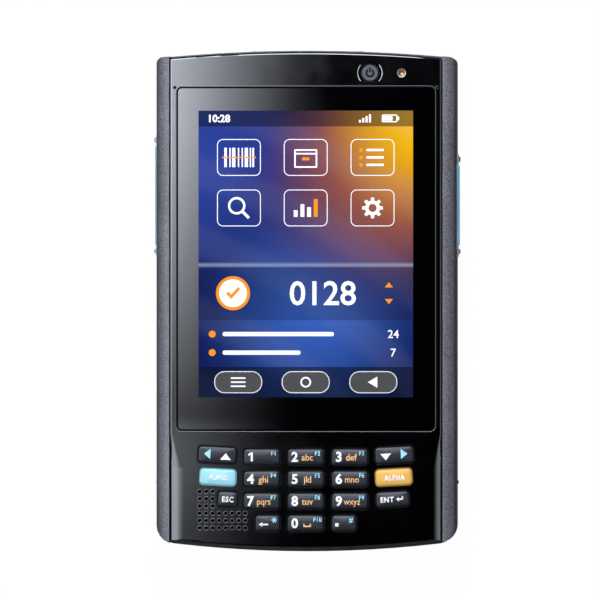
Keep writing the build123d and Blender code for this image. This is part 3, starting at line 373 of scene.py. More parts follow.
GLOSS_BLACK = Finish("gloss_black_cover", (2, 2, 4), 0.05, Grain.POLISHED, 6.0, 0.0004, 0.15)
LENS_BLACK = Finish("window_black_glass", (2, 2, 4), 0.03, Grain.POLISHED, 6.0, 0.0003, 0.1,
                    specular=0.58)
KEY_BLACK = Finish("key_black_satin", (29, 30, 36), 0.3, Grain.SATIN, 0.12, 0.004, 0.1,
                   specular=0.09)
# the cyan and orange keys glow a little: painted light that brightens them
KEY_CYAN = Finish("key_cyan_satin", (166, 236, 254), 0.32, Grain.SATIN, 0.12, 0.004, 0.04,
                  glow=0.12, specular=0.15)
KEY_ORANGE = Finish("key_orange_satin", (254, 198, 94), 0.32, Grain.SATIN, 0.12, 0.004, 0.04,
                    glow=0.1, specular=0.12)
KEY_POWER = Finish("power_key_satin", (37, 37, 43), 0.34, Grain.SATIN, 0.12, 0.004, 0.1,
                   specular=0.14)
PRINT_WHITE = Finish("print_white", (240, 242, 245), 0.5, Grain.SATIN, 0.1, 0.002, 0.03)
PRINT_ORANGE = Finish("print_orange", (232, 170, 74), 0.5, Grain.SATIN, 0.1, 0.002, 0.06)
PRINT_CYAN = Finish("print_cyan", (128, 208, 232), 0.5, Grain.SATIN, 0.1, 0.002, 0.06)
# the rail rubber darkens low on its sides: painted shade
RAIL_RUBBER = Finish("rail_spark_texture", (106, 107, 116), 0.55, Grain.SPARK, 0.42, 0.07, 0.75,
                     specular=0.14, shade=(21.6, 22.9))
HOUSING = Finish("housing_spark_texture", (42, 43, 48), 0.5, Grain.SPARK, 0.35, 0.02, 0.2,
                 specular=0.2)
LID = Finish("lid_spark_texture", (56, 57, 63), 0.55, Grain.SPARK, 0.4, 0.03, 0.2)
SURROUND = Finish("surround_satin", (118, 119, 126), 0.4, Grain.SATIN, 0.2, 0.006, 0.08)
# the triggers glow: painted light that brightens their sideways faces
TRIGGER = Finish("trigger_blue", (92, 190, 232), 0.3, Grain.SATIN, 0.2, 0.006, 0.06, glow=0.3)
BLACK_PLASTIC = Finish("black_plastic", (26, 26, 29), 0.42, Grain.SATIN, 0.2, 0.006, 0.15)
STYLUS_GREY = Finish("stylus_satin", (38, 38, 42), 0.35, Grain.SATIN, 0.2, 0.006, 0.12)
BATTERY = Finish("battery_case", (34, 34, 38), 0.45, Grain.SPARK, 0.3, 0.01, 0.15)
SILICONE = Finish("silicone", (58, 59, 63), 0.6, Grain.SATIN, 0.4, 0.008, 0.1)
DOOR_RUBBER = Finish("door_rubber", (44, 44, 48), 0.62, Grain.SATIN, 0.25, 0.01, 0.12)
STEEL = Finish("machined_steel", (188, 190, 194), 0.28, Grain.BRUSHED, 0.12, 0.003, 0.1,
               metal=True)
MAGNESIUM = Finish("cast_magnesium", (160, 162, 165), 0.45, Grain.CAST, 0.5, 0.02, 0.12,
                   metal=True)
BRASS = Finish("turned_brass", (206, 168, 92), 0.3, Grain.BRUSHED, 0.12, 0.003, 0.1, metal=True)
GOLD = Finish("gold_plating", (228, 186, 98), 0.24, Grain.SATIN, 0.1, 0.001, 0.06, metal=True)
BRIGHT_RING = Finish("plated_ring", (118, 110, 100), 0.34, Grain.SATIN, 0.1, 0.001, 0.08,
                     metal=True)
BOARD_GREEN = Finish("solder_mask", (20, 84, 46), 0.35, Grain.SATIN, 0.3, 0.004, 0.2, coat=0.4)
ENGINE = Finish("black_oxide", (58, 58, 62), 0.4, Grain.CAST, 0.4, 0.01, 0.15)
SCAN_RED = Finish("scan_window_red", (74, 8, 14), 0.05, Grain.POLISHED, 5.0, 0.001, 0.15)
CAMERA_GLASS = Finish("camera_window_glass", (12, 13, 18), 0.04, Grain.POLISHED, 5.0, 0.001, 0.15)
RIBBON = Finish("ribbon_film", (186, 112, 42), 0.3, Grain.BRUSHED, 0.5, 0.004, 0.12)
AMBER = Finish("amber_light", (214, 136, 62), 0.3, Grain.SATIN, 0.2, 0.002, 0.2, glow=0.12)
# matt black: a real gasket in the window groove and the power sign, painted shade as the key rims
# and corner dimples
MATT_BLACK = Finish("matt_black", (3, 3, 4), 0.9, Grain.CAST, 0.3, 0.02, 0.3, specular=0.05)
CLOTH = Finish("speaker_cloth", (5, 5, 7), 0.85, Grain.SPARK, 0.16, 0.03, 0.4, specular=0.1)
CLEAR_PIPE = Finish("light_pipe_clear", (70, 60, 48), 0.12, Grain.POLISHED, 0.6, 0.002, 0.2)
SCREEN_WHITE = Finish("display_white", (238, 240, 246), 0.5, Grain.SATIN, 0.4, 0.0, 0.03,
                      glow=0.6, specular=0.0)
SCREEN_ORANGE = Finish("display_orange", (228, 140, 38), 0.5, Grain.SATIN, 0.4, 0.0, 0.06,
                       glow=0.6, specular=0.0)
SCREEN_GREY = Finish("display_grey", (74, 76, 78), 0.5, Grain.SATIN, 1.2, 0.0, 0.25,
                     glow=0.5, specular=0.0)

NODE_FINISHES: dict[str, Finish] = {
    "front_cover": GLOSS_BLACK, "display_lens": LENS_BLACK, "touch_sensor": CAMERA_GLASS,
    "lcd_module": MAGNESIUM, "power_key": KEY_POWER, "led_light_pipe": CLEAR_PIPE,
    "keypad_board": BOARD_GREEN, "keypad_mat": SILICONE, "button_board": BOARD_GREEN,
    "speaker": BLACK_PLASTIC, "left_rail": RAIL_RUBBER, "right_rail": RAIL_RUBBER,
    "left_trigger_surround": SURROUND, "right_trigger_surround": SURROUND,
    "left_trigger": TRIGGER, "right_trigger": TRIGGER, "trigger_switches": BOARD_GREEN,
    "rear_housing": HOUSING, "housing_seal": SILICONE, "housing_screws": STEEL,
    "strap_inserts": BRASS, "battery_pack": BATTERY, "battery_contacts": GOLD,
    "battery_lid": LID, "lid_latch": BLACK_PLASTIC, "lid_hinge_pin": STEEL,
    "stylus": STYLUS_GREY, "io_door": DOOR_RUBBER, "headset_jack": BLACK_PLASTIC,
    "dock_connector": BLACK_PLASTIC, "microphone": SILICONE, "scan_engine": ENGINE,
    "scan_bracket": STEEL, "scan_window": SCAN_RED, "camera_window": CAMERA_GLASS,
    "camera_module": BLACK_PLASTIC, "main_board": BOARD_GREEN, "board_shields": STEEL,
    "chassis_plate": MAGNESIUM, "display_ribbon": RIBBON, "backup_cell": STEEL,
    "vibration_motor": STEEL,
}


# ------------------------------------------------------------------------------ meshes


@dataclass
class Solid:
    """Vertices and faces of one piece, gathered part by part, with a finish for each part.

    Attributes:
        vertices: One array of points for each part.
        faces: Indices into all the points.
        paints: For each face, which finish it wears.
        finishes: The finishes, in the order of their first use.
        count: Number of points so far.
    """

    vertices: list[np.ndarray] = field(default_factory=list)
    faces: list[list[int]] = field(default_factory=list)
    paints: list[int] = field(default_factory=list)
    finishes: list[Finish] = field(default_factory=list)
    count: int = 0

    def add(self, points: np.ndarray, faces: list, finish: Finish) -> None:
        """Append points and the faces between them.

        Args:
            points: N x 3 array.
            faces: Lists of indices into points.
            finish: What the faces are painted with.
        """
        if finish not in self.finishes:
            self.finishes.append(finish)
        self.vertices.append(np.asarray(points, float))
        self.faces += [(np.asarray(face) + self.count).tolist() for face in faces]
        self.paints += [self.finishes.index(finish)] * len(faces)
        self.count += len(points)

    def prism(self, outline: np.ndarray, low: float, high: float, finish: Finish) -> None:
        """Add an anticlockwise outline carried straight up: a copy at each height, with quads."""
        self.rings(np.stack([level(outline, z) for z in (low, high)]), finish)

    def rings(self, rings: np.ndarray, finish: Finish, closed: bool = False) -> None:
        """Add a skin over rings of equal count, with its two ends capped, or closed on itself.

        Formula: point j of ring i joins point j + 1 and the same two points of ring i + 1.

        Args:
            rings: R x N x 3 array, each ring anticlockwise seen from the skin's end.
            finish: What it is painted with.
            closed: Whether the last ring joins the first one.
        """
        count, n = rings.shape[:2]
        rows = np.arange(count if closed else count - 1)[:, None] * n
        column = np.arange(n)[None, :]
        after = (column + 1) % n
        up = (rows + n) % (count * n)
        quads = np.stack([rows + column, rows + after, up + after, up + column], -1)
        faces = quads.reshape(-1, 4).tolist()
        if not closed:
            faces += [list(range(n))[::-1], list(range((count - 1) * n, count * n))]
        self.add(rings.reshape(-1, 3), faces, finish)

    def piece(self, name: str, body: str, slot: str,
              smooth: float | None = None) -> bpy.types.Object:
        """Make the object and ride it on its body.

        Args:
            name: The piece's name.
            body: The moving body that it rides on.
            slot: The record's material slot; not used.
            smooth: Angle in degrees under which edges are shaded smooth, or None for flat faces.

        Returns:
            The new object, at the origin.
        """
        mesh = bpy.data.meshes.new(name)
        mesh.from_pydata((np.vstack(self.vertices) * MM).tolist(), [], self.faces)
        for finish in self.finishes:
            mesh.materials.append(finish.material())
        mesh.polygons.foreach_set("material_index", np.array(self.paints, np.int32))
        mesh.update()
        if smooth is not None:
            mesh.polygons.foreach_set("use_smooth", np.ones(len(mesh.polygons), bool))
            mesh.set_sharp_from_angle(angle=math.radians(smooth))
        mesh.validate()
        made = bpy.data.objects.new(name, mesh)
        bpy.context.scene.collection.objects.link(made)
        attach(made, body)
        log.info("piece %s rides on %s", name, body)
        return made


def level(outline: np.ndarray, height: float) -> np.ndarray:
    """Lift a flat N x 2 outline to a height, as an N x 3 array."""
    return np.column_stack([outline, np.full(len(outline), height)])


def rounded(width: float, height: float, radius: float, steps: int = 6) -> np.ndarray:
    """Draw a rounded rectangle about the origin.

    Formula: each corner is a quarter circle, point = corner centre + radius * (cos a, sin a).

    Args:
        width: Size along X.
        height: Size along Y.
        radius: Of the corners.
        steps: Edges in a corner.

    Returns:
        The outline, anticlockwise.
    """
    a = np.linspace(0, math.pi / 2, steps + 1)
    quarter = np.arange(4)[:, None] * math.pi / 2 + a[None, :]
    signs = np.array([(1, 1), (-1, 1), (-1, -1), (1, -1)], float)
    centres = signs * (width / 2 - radius, height / 2 - radius)
    points = centres[:, None, :] + radius * np.stack([np.cos(quarter), np.sin(quarter)], -1)
    return points.reshape(-1, 2)


def circle(radius: float, steps: int) -> np.ndarray:
    """Draw a circle about the origin, anticlockwise: radius * (cos a, sin a)."""
    a = np.arange(steps) / steps * 2 * math.pi
    return radius * np.column_stack([np.cos(a), np.sin(a)])


def band(inner: float, outer: float, start: float, end: float, steps: int) -> np.ndarray:
    """Draw a part of a flat ring.

    Formula: an arc of the outer radius, then one of the inner radius back.

    Args:
        inner: Inner radius.
        outer: Outer radius.
        start: First angle in degrees.
        end: Last angle in degrees.
        steps: Points along each arc.

    Returns:
        The outline, anticlockwise.
    """
    a = np.radians(np.linspace(start, end, steps))
    arc = np.column_stack([np.cos(a), np.sin(a)])
    return np.vstack([outer * arc, inner * arc[::-1]])


def bar(start: Point, end: Point, width: float) -> np.ndarray:
    """Draw a straight stroke.

    Formula: both ends are moved half the width to each side.

    Args:
        start: One end of its middle line.
        end: The other end.
        width: Across the stroke.

    Returns:
        The outline, anticlockwise.
    """
    a, b = np.asarray(start, float), np.asarray(end, float)
    along = (b - a) / np.linalg.norm(b - a)
    side = np.array([-along[1], along[0]]) * width / 2
    return np.vstack([a - side, b - side, b + side, a + side])


def placed(outline: np.ndarray, middle: Point, turn: float = 0.0) -> np.ndarray:
    """Turn an outline about the origin and move it.

    Args:
        outline: N x 2 array.
        middle: Where its origin goes.
        turn: Degrees, anticlockwise.

    Returns:
        The outline in its place.
    """
    a = math.radians(turn)
    spin = np.array([[math.cos(a), math.sin(a)], [-math.sin(a), math.cos(a)]])
    return np.asarray(outline, float) @ spin + np.asarray(middle, float)


def swept_rim(outline: np.ndarray, radius: float, base: float, sides: int = 5) -> np.ndarray:
    """Carry a half-round bead along a closed outline.

    Formula: at every point of the outline the bead's profile lies in the plane of the outward
    normal and Z, point = outline + normal * radius * cos(b) and height = base + radius * sin(b).

    Args:
        outline: N x 2 array, anticlockwise.
        radius: Of the bead.
        base: Height of its flat underside.
        sides: Points over its back.

    Returns:
        The bead's rings, to be closed on themselves.
    """
    along = np.roll(outline, -1, 0) - np.roll(outline, 1, 0)
    along /= np.linalg.norm(along, axis=1)[:, None]
    normal = np.column_stack([along[:, 1], -along[:, 0]])
    b = np.linspace(0, math.pi, sides)
    reach = outline[None] + normal[None] * (radius * np.cos(b))[:, None, None]
    height = np.broadcast_to((base + radius * np.sin(b))[:, None, None], reach.shape[:2] + (1,))
    return np.concatenate([reach, height], -1)


def turned(profile: tuple[Point, ...], steps: int) -> np.ndarray:
    """Carry an anticlockwise profile round Z: each (radius, height) becomes a circle there."""
    return np.stack([level(circle(radius, steps), height) for radius, height in profile])


@dataclass(frozen=True)
class Word:
    """A short generic legend.

    Attributes:
        text: What it says.
        height: Height of a capital.
        at: Where its middle lies.
        finish: Its paint.
        weight: How much bolder its strokes are than the font's.
        narrow: Width as a share of the font's.
        spacing: Distance between letters as a share of the font's.
    """

    text: str
    height: float
    at: Point
    finish: Finish = PRINT_WHITE
    weight: float = 0.032
    narrow: float = 1.0
    spacing: float = 1.0


class Lettering:
    """Turns short generic legends into solid letters.

    Attributes:
        half: Half the thickness of the raw letters, by their size.
    """

    half: float = 0.05

    def __init__(self) -> None:
        """Measure the height of a capital once."""
        points, _ = self.glyphs("H", 0.0, 1.0)
        self.capital = float(np.ptp(points[:, 1]))

    def glyphs(self, text: str, weight: float, spacing: float) -> tuple[np.ndarray, list]:
        """Mesh a text of size 1.

        Args:
            text: What it says.
            weight: How much bolder its strokes are.
            spacing: Distance between letters as a share of the font's.

        Returns:
            Points with the left end and the baseline at the origin, and the faces.
        """
        curve = bpy.data.curves.new("legend_text", "FONT")
        curve.body = text
        curve.resolution_u = 3
        curve.extrude = self.half
        curve.offset = weight
        curve.space_character = spacing
        maker = bpy.data.objects.new("legend_text", curve)
        bpy.context.scene.collection.objects.link(maker)
        bpy.context.view_layer.update()
        graph = bpy.context.evaluated_depsgraph_get()
        mesh = bpy.data.meshes.new_from_object(maker.evaluated_get(graph))
        points = np.empty(len(mesh.vertices) * 3)
        mesh.vertices.foreach_get("co", points)
        faces = [list(face.vertices) for face in mesh.polygons]
        bpy.data.objects.remove(maker)
        bpy.data.curves.remove(curve)
        bpy.data.meshes.remove(mesh)
        return points.reshape(-1, 3), faces

    def write(self, solid: Solid, word: Word, middle: Point, base: float, thick: float,
              turn: float = 0.0) -> None:
        """Write a legend into a solid, centred on a point.

        Args:
            solid: What the letters are added to.
            word: The legend.
            middle: Where its middle lies.
            base: Height of the letters' lower faces.
            thick: Their thickness.
            turn: Degrees about Z.
        """
        points, faces = self.glyphs(word.text, word.weight, word.spacing)
        low, high = points[:, 0].min(), points[:, 0].max()
        flat = np.column_stack([(points[:, 0] - (low + high) / 2) * word.narrow,
                                points[:, 1] - self.capital / 2]) * (word.height / self.capital)
        z = base + (points[:, 2] + self.half) / (2 * self.half) * thick
        solid.add(np.column_stack([placed(flat, middle, turn), z]), faces, word.finish)


# ------------------------------------------------------------------------------ keypad


DIGIT_ONE = np.array([(0.05, -1.22), (0.58, -1.22), (0.58, 1.22), (0.14, 1.22), (-0.62, 0.72),
                      (-0.62, 0.22), (0.05, 0.6)])
SPACE_SIGN = (((-0.85, -0.2), (-0.85, -0.85)), ((-1.0, -0.85), (1.0, -0.85)),
              ((0.85, -0.85), (0.85, -0.2)))
TRIANGLE = np.array([(-1.45, -0.85), (1.45, -0.85), (0.0, 0.95)])
LETTERS = {2: "abc", 3: "def", 4: "ghi", 5: "jkl", 6: "mno", 7: "pqrs", 8: "tuv", 9: "wxyz"}
WIDE_LETTERS = ("mno", "pqrs", "wxyz")
KEY_WORDS = {
    "func": Word("FUNC", 1.35, (0.2, -0.05), narrow=0.9, spacing=1.12),
    "alpha": Word("ALPHA", 1.3, (0.2, -0.15), narrow=0.86, spacing=1.14),
    "escape": Word("ESC", 1.35, (0.1, -0.05), narrow=0.9, spacing=1.16),
    "enter": Word("ENT", 1.35, (-1.4, -0.05), narrow=0.9, spacing=1.16),
}


@dataclass(frozen=True)
class Key:
    """One key: where it sits, how large its top is and its colour.

    Attributes:
        name: CAD node and body.
        x: Middle, from the middle of the terminal.
        y: Middle, from the middle of the terminal.
        width: Size along X.
        height: Size along Y.
        tilt: Degrees about Z.
        finish: Its plastic.
        slot: The record's material slot.
    """

    name: str
    x: float
    y: float
    width: float = 9.6
    height: float = 4.2
    tilt: float = 0.0
    finish: Finish = KEY_BLACK
    slot: str = "key_black"

    def outline(self, inset: float) -> np.ndarray:
        """Draw the key's rounded outline in its place, moved inwards by the inset."""
        flat = rounded(self.width - 2 * inset, self.height - 2 * inset, max(0.95 - inset, 0.15))
        return placed(flat, (self.x, self.y), self.tilt)

    def spot(self, dx: float, dy: float) -> Point:
        """Find a place on the key's top, given from its middle along its width and height."""
        return tuple(placed(np.array([[dx, dy]]), (self.x, self.y), self.tilt)[0])


@dataclass
class Keypad:
    """The keys with their crowned caps, their printed legends and the matt black rims round their
    openings, painted shade that widens the dark gaps.

    Attributes:
        top: Height of a key's crown.
        crown: How far the cap's top falls from its middle to its edge.
        edge: Radius of the rounded upper edge.
        flange: How far the hidden flange reaches out.
        flange_span: Heights between which the flange lies.
        foot_size: Size of the foot over the dome.
        foot_span: Heights between which the foot lies.
        print_sink: How far the legends start below the crown.
        print_thick: Their thickness.
        rim_gap: From a key to the bead round its opening.
        rim_radius: Of that bead.
        row: Middles of the digit rows, from the lowest.
        column: Distance between the digit columns.
        rise: How much higher the keys beside the digits sit.
        tilt: Degrees by which they are turned.
        digit_at: Middle of a digit on its key.
        shift_at: Middle of the small second legend.
        lettering: Writes the legends.
    """

    top: float = 25.46
    crown: float = 0.14
    edge: float = 0.34
    flange: float = 0.6
    flange_span: Point = (22.55, 23.15)
    foot_size: Point = (2.6, 1.6)
    foot_span: Point = (22.35, 22.56)
    print_sink: float = 0.07
    print_thick: float = 0.085
    rim_gap: float = 0.4
    rim_radius: float = 0.1
    row: tuple[float, ...] = (-59.8, -53.85, -47.9, -41.95)
    column: float = 11.88
    rise: float = 0.5
    tilt: float = 3.0
    digit_at: Point = (-2.95, 0.0)
    shift_at: Point = (3.2, 0.92)
    lettering: Lettering = field(default_factory=Lettering)

    def keys(self) -> list[Key]:
        """List the keys.

        Returns:
            All of them, as the CAD places them.
        """
        high, tilt = [y + self.rise for y in self.row], self.tilt
        found = [
            Key("key_left_up", -23.84, high[3], 10.2, 4.4, -tilt),
            Key("key_down_right", 23.84, high[3], 10.2, 4.4, tilt),
            Key("key_func", -23.7, high[2], 9.6, 4.3, -tilt, KEY_CYAN, "key_cyan"),
            Key("key_alpha", 23.7, high[2], 9.6, 4.3, tilt, KEY_ORANGE, "key_orange"),
            Key("key_escape", -21.06, high[1], 5.2, 4.05, -tilt),
            Key("key_enter", 23.34, high[1], 8.7, 4.05, tilt),
            Key("key_backspace", -10.305, self.row[0], 6.45),
            Key("key_point", 10.305, self.row[0], 6.45),
            Key("key_0", 0.0, self.row[0]),
        ]
        for digit in range(1, 10):
            found.append(Key(f"key_{digit}", ((digit - 1) % 3 - 1) * self.column,
                             self.row[3 - (digit - 1) // 3]))
        return found

    def surface(self, share: float) -> float:
        """Height of the crowned top, which falls with the square of the share of the way out."""
        return self.top - self.crown * share ** 2

    def cap(self, key: Key) -> None:
        """Build a key cap from rings.

        Formula: below its edge a ring is the outline moved out or in, over the rounded edge the
        inset is edge * (1 - cos b) and the drop edge * (1 - sin b), and on the top the last ring
        shrinks towards the middle while its height follows the crown.

        Args:
            key: Which key.
        """
        shoulder = self.surface(1.0) - self.edge
        back, front = self.flange_span
        rings = [(-self.flange, back, 1.0), (-self.flange, front, 1.0), (0.0, front, 1.0),
                 (0.0, shoulder, 1.0)]
        rings += [(self.edge * (1 - math.cos(b)), self.surface(1.0) - self.edge * (1 - math.sin(b)),
                   1.0) for b in np.linspace(0, math.pi / 2, 6)[1:]]
        rings += [(self.edge, self.surface(share), share) for share in np.linspace(1, 0, 9)[1:-1]]
        middle = np.array([key.x, key.y])
        skin = np.stack([level(middle + (key.outline(inset) - middle) * share, z)
                         for inset, z, share in rings])
        solid = Solid()
        solid.rings(skin, key.finish)
        foot = placed(rounded(*self.foot_size, 0.2, 2), (key.x, key.y), key.tilt)
        solid.prism(foot, *self.foot_span, key.finish)
        made = solid.piece(f"cap_{key.name}", key.name, key.slot, 50.0)
        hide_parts(key.name)

    def stamp(self, ink: Solid, key: Key, outline: np.ndarray, at: Point, finish: Finish,
              turn: float = 0.0, lift: float = 0.0) -> None:
        """Print an outline on a key.

        Args:
            ink: What the print is added to.
            key: Which key.
            outline: N x 2 array, anticlockwise.
            at: Where its middle goes, from the key's middle.
            finish: The ink.
            turn: Degrees about Z.
            lift: How much thicker it is than other print.
        """
        base = self.top - self.print_sink
        ink.prism(placed(outline, key.spot(*at), turn), base, base + self.print_thick + lift,
                  finish)

    def write(self, ink: Solid, key: Key, word: Word, sink: float = 0.0) -> None:
        """Print a word on a key, placed from its middle and sunk below other print if asked."""
        self.lettering.write(ink, word, key.spot(*word.at), self.top - self.print_sink - sink,
                             self.print_thick, key.tilt)

    def legends(self, key: Key) -> None:
        """Print a key's legend: white digits, orange letters and small cyan second functions.

        Args:
            key: Which key.
        """
        ink = Solid()
        tail = key.name.removeprefix("key_")
        if tail.isdigit():
            self.digit(ink, key, int(tail))
        elif tail in ("left_up", "down_right"):
            side = -1 if tail == "left_up" else 1
            self.stamp(ink, key, TRIANGLE, (-side * 2.3, -0.35), PRINT_WHITE,
                       key.tilt + (0 if side < 0 else 180))
            self.stamp(ink, key, TRIANGLE * (0.95, 1.0), (side * 2.65, 0.2), PRINT_CYAN,
                       key.tilt - side * 90)
        elif tail == "backspace":
            self.arrow(ink, key, (-1.0, -0.35), False)
            for turn in (0, 60, 120):
                self.stamp(ink, key, bar((-0.78, 0), (0.78, 0), 0.24), (1.85, 0.85), PRINT_CYAN,
                           turn, 0.0004 * turn / 60)
        elif tail == "point":
            self.stamp(ink, key, rounded(0.95, 0.95, 0.25, 3), (-1.9, -0.45), PRINT_WHITE)
            self.write(ink, key, Word("#", 1.25, (1.9, 0.85), PRINT_CYAN, 0.02), 0.02)
        else:
            self.write(ink, key, KEY_WORDS[tail])
            if tail == "enter":
                self.arrow(ink, key, (2.0, -0.05), True)
        ink.piece(f"legend_{key.name}", key.name, key.slot)

    def digit(self, ink: Solid, key: Key, digit: int) -> None:
        """Print a digit key: the digit, its letters or the space sign, and its second function.

        Args:
            ink: What the print is added to.
            key: Which key.
            digit: Its digit.
        """
        if digit == 1:
            self.stamp(ink, key, DIGIT_ONE, self.digit_at, PRINT_WHITE)
        else:
            self.write(ink, key, Word(str(digit), 2.45, self.digit_at, weight=0.035))
        if digit in LETTERS:
            wide = LETTERS[digit] in WIDE_LETTERS
            self.write(ink, key, Word(LETTERS[digit], 1.7, (0.6 if wide else 0.45, -0.12),
                                      PRINT_ORANGE, 0.006, 0.86 if wide else 0.94))
        self.write(ink, key, Word(f"F{digit or 10}", 1.1, self.shift_at, PRINT_CYAN, 0.02, 0.9,
                                  1.12))
        if digit == 0:
            for start, end in SPACE_SIGN:
                self.stamp(ink, key, bar(start, end, 0.34), (0.4, 0.0), PRINT_ORANGE)

    def arrow(self, ink: Solid, key: Key, at: Point, hooked: bool) -> None:
        """Print an arrow to the left.

        Args:
            ink: What the print is added to.
            key: Which key.
            at: Its middle, from the key's middle.
            hooked: Whether it has a hook at its right end, as for enter.
        """
        parts = [np.array([(-1.35, 0.0), (-0.35, -0.62), (-0.35, 0.62)]),
                 bar((-0.4, 0.0), (1.2, 0.0), 0.42)]
        if hooked:
            parts = [part * (0.72, 1.0) for part in parts]
            parts.append(bar((0.75, -0.2), (0.75, 0.8), 0.36))
        for part in parts:
            self.stamp(ink, key, part, at, PRINT_WHITE, key.tilt)

    def rims(self, keys: list[Key]) -> None:
        """Lay a fine matt black bead round every key's opening, painted shade that widens the dark
        gap round the key.

        Args:
            keys: All the keys.
        """
        solid = Solid()
        for key in keys:
            # matt black bead: painted shade that widens the dark gap round each key
            bead = swept_rim(key.outline(-self.rim_gap), self.rim_radius, FACE - 0.08)
            solid.rings(bead, MATT_BLACK, closed=True)
        solid.piece("key_opening_rims", ROOT, "gloss_black", 80.0)

    def build(self) -> None:
        """Make all caps, legends and rims."""
        keys = self.keys()
        for key in keys:
            self.cap(key)
            self.legends(key)
        self.rims(keys)


# ------------------------------------------------------------------------------ front panel


@dataclass
class FrontPanel:
    """Small fittings of the front: window, power key's sign, status light and grille.

    Attributes:
        power: Middle of the power key.
        sign_back: Height at which its sign starts.
        light: Middle of the status light.
        window: Width and height of the window.
        window_corner: Radius of its corners.
        window_middle: Its middle, along Y.
        gasket: Inner and outer edge of the gasket, from the window.
        gasket_span: Heights between which the gasket lies.
        bead_gap: From the window to the bead round its groove.
        dimple: Middle of the dimple at the window's upper right corner.
        grille_start: First hole of the speaker grille.
        grille_pitch: Distance between its columns and its rows.
        grille_rows: Holes in each row.
        cloth_edge: How far the cloth reaches past the holes, sideways and lengthways.
        cloth_span: Heights between which it lies.
    """

    power: Point = (17.3, 61.4)
    sign_back: float = 24.88
    light: Point = (25.8, 61.4)
    window: Point = (69.2, 92.2)
    window_corner: float = 1.2
    window_middle: float = 11.35
    gasket: Point = (0.02, 0.26)
    gasket_span: Point = (23.96, 24.5)
    bead_gap: float = 0.43
    dimple: Point = (35.3, 57.5)
    grille_start: Point = (-28.6, -51.3)
    grille_pitch: Point = (1.76, 1.96)
    grille_rows: tuple[int, ...] = (3, 3, 3, 8, 8, 8)
    cloth_edge: Point = (0.6, 0.8)
    cloth_span: Point = (23.1, 23.18)

    def power_sign(self) -> None:
        """Raise the sign on the power key: a broken ring and a bar."""
        sign = Solid()
        for outline in (band(0.72, 1.2, 125, 415, 32), bar((0, 0.15), (0, 1.5), 0.42)):
            sign.prism(placed(outline, self.power), self.sign_back, FACE, MATT_BLACK)
        sign.piece("power_sign", "power_key", "key_black")

    def power_brackets(self) -> None:
        """Paint the highlight of the power key's recess edges as a bright curve at both sides."""
        solid = Solid()
        for turn in (0, 180):
            outline = placed(band(3.2, 3.38, -41, 41, 20), self.power, turn)
            # light grey flat arcs: painted highlight of the recess edges
            solid.prism(outline, FACE - 0.03, FACE + 0.03, SURROUND)
        solid.piece("power_recess_painted_highlights", ROOT, "gloss_black")

    def status_light(self) -> None:
        """Turn the plated ring round the status light from a small profile, and add its dot.

        Formula: profile points (radius, height) are carried round the light's axis.
        """
        profile = ((0.9, 24.76), (1.16, 24.78), (1.2, 24.98), (1.12, 25.05), (1.02, 25.02),
                   (0.9, 24.86))
        solid = Solid()
        solid.rings(turned(profile, 36) + (*self.light, 0.0), BRIGHT_RING, closed=True)
        solid.piece("status_light_ring", ROOT, "steel", 40.0)
        dot = Solid()
        dot.prism(placed(circle(0.42, 24), (self.light[0] + 0.15, self.light[1] - 0.35)), 24.74,
                  24.79, AMBER)
        dot.piece("status_light_dot", ROOT, "clear_pipe")

    def window_outline(self, gap: float) -> np.ndarray:
        """Draw an outline round the window.

        Args:
            gap: How far it is from the window's edge.

        Returns:
            The outline in its place.
        """
        width, height = self.window
        outline = rounded(width + 2 * gap, height + 2 * gap, self.window_corner + gap)
        return placed(outline, (0, self.window_middle))

    def window_groove(self) -> None:
        """Lay the dark gasket in the window's groove and a fine bead along its outer edge.

        Formula: the gasket is a rectangle carried round the window's outline.
        """
        (inner, outer), (back, front) = self.gasket, self.gasket_span
        corners = ((inner, back), (outer, back), (outer, front), (inner, front))
        gasket = Solid()
        gasket.rings(np.stack([level(self.window_outline(gap), z) for gap, z in corners]), MATT_BLACK,
                     closed=True)
        gasket.piece("window_gasket", ROOT, "silicone")
        bead = Solid()
        bead.rings(swept_rim(self.window_outline(self.bead_gap), 0.08, FACE - 0.04, 9),
                   GLOSS_BLACK, closed=True)
        bead.piece("window_bead", ROOT, "gloss_black", 80.0)

    def corner_dimples(self) -> None:
        """Set a dimple beside each of the window's upper corners as a flat matt black disc, painted
        shade of its hollow, with a fine bead.
        """
        dark, edge = Solid(), Solid()
        x, y = self.dimple
        for side in (-1, 1):
            # flat matt black disc: painted shade standing for the dimple's hollow
            dark.prism(placed(circle(0.5, 20), (side * x, y)), FACE - 0.02, FACE + 0.006, MATT_BLACK)
            edge.rings(swept_rim(placed(circle(0.4, 20), (side * x, y)), 0.035, FACE - 0.015),
                       GLOSS_BLACK, closed=True)
        dark.piece("corner_dimples", ROOT, "gloss_black")
        edge.piece("corner_dimple_beads", ROOT, "gloss_black", 80.0)

    def grille_hole(self, column: float, row: float) -> Point:
        """Middle of a grille hole, counted from the first one."""
        return (self.grille_start[0] + column * self.grille_pitch[0],
                self.grille_start[1] - row * self.grille_pitch[1])

    def grille_rims(self) -> None:
        """Lay a fine bead round every hole of the speaker grille."""
        solid = Solid()
        for row, count in enumerate(self.grille_rows):
            for column in range(count):
                hole = placed(circle(0.6, 16), self.grille_hole(column, row))
                solid.rings(swept_rim(hole, 0.08, FACE - 0.03), GLOSS_BLACK, closed=True)
        solid.piece("grille_rims", ROOT, "gloss_black", 80.0)

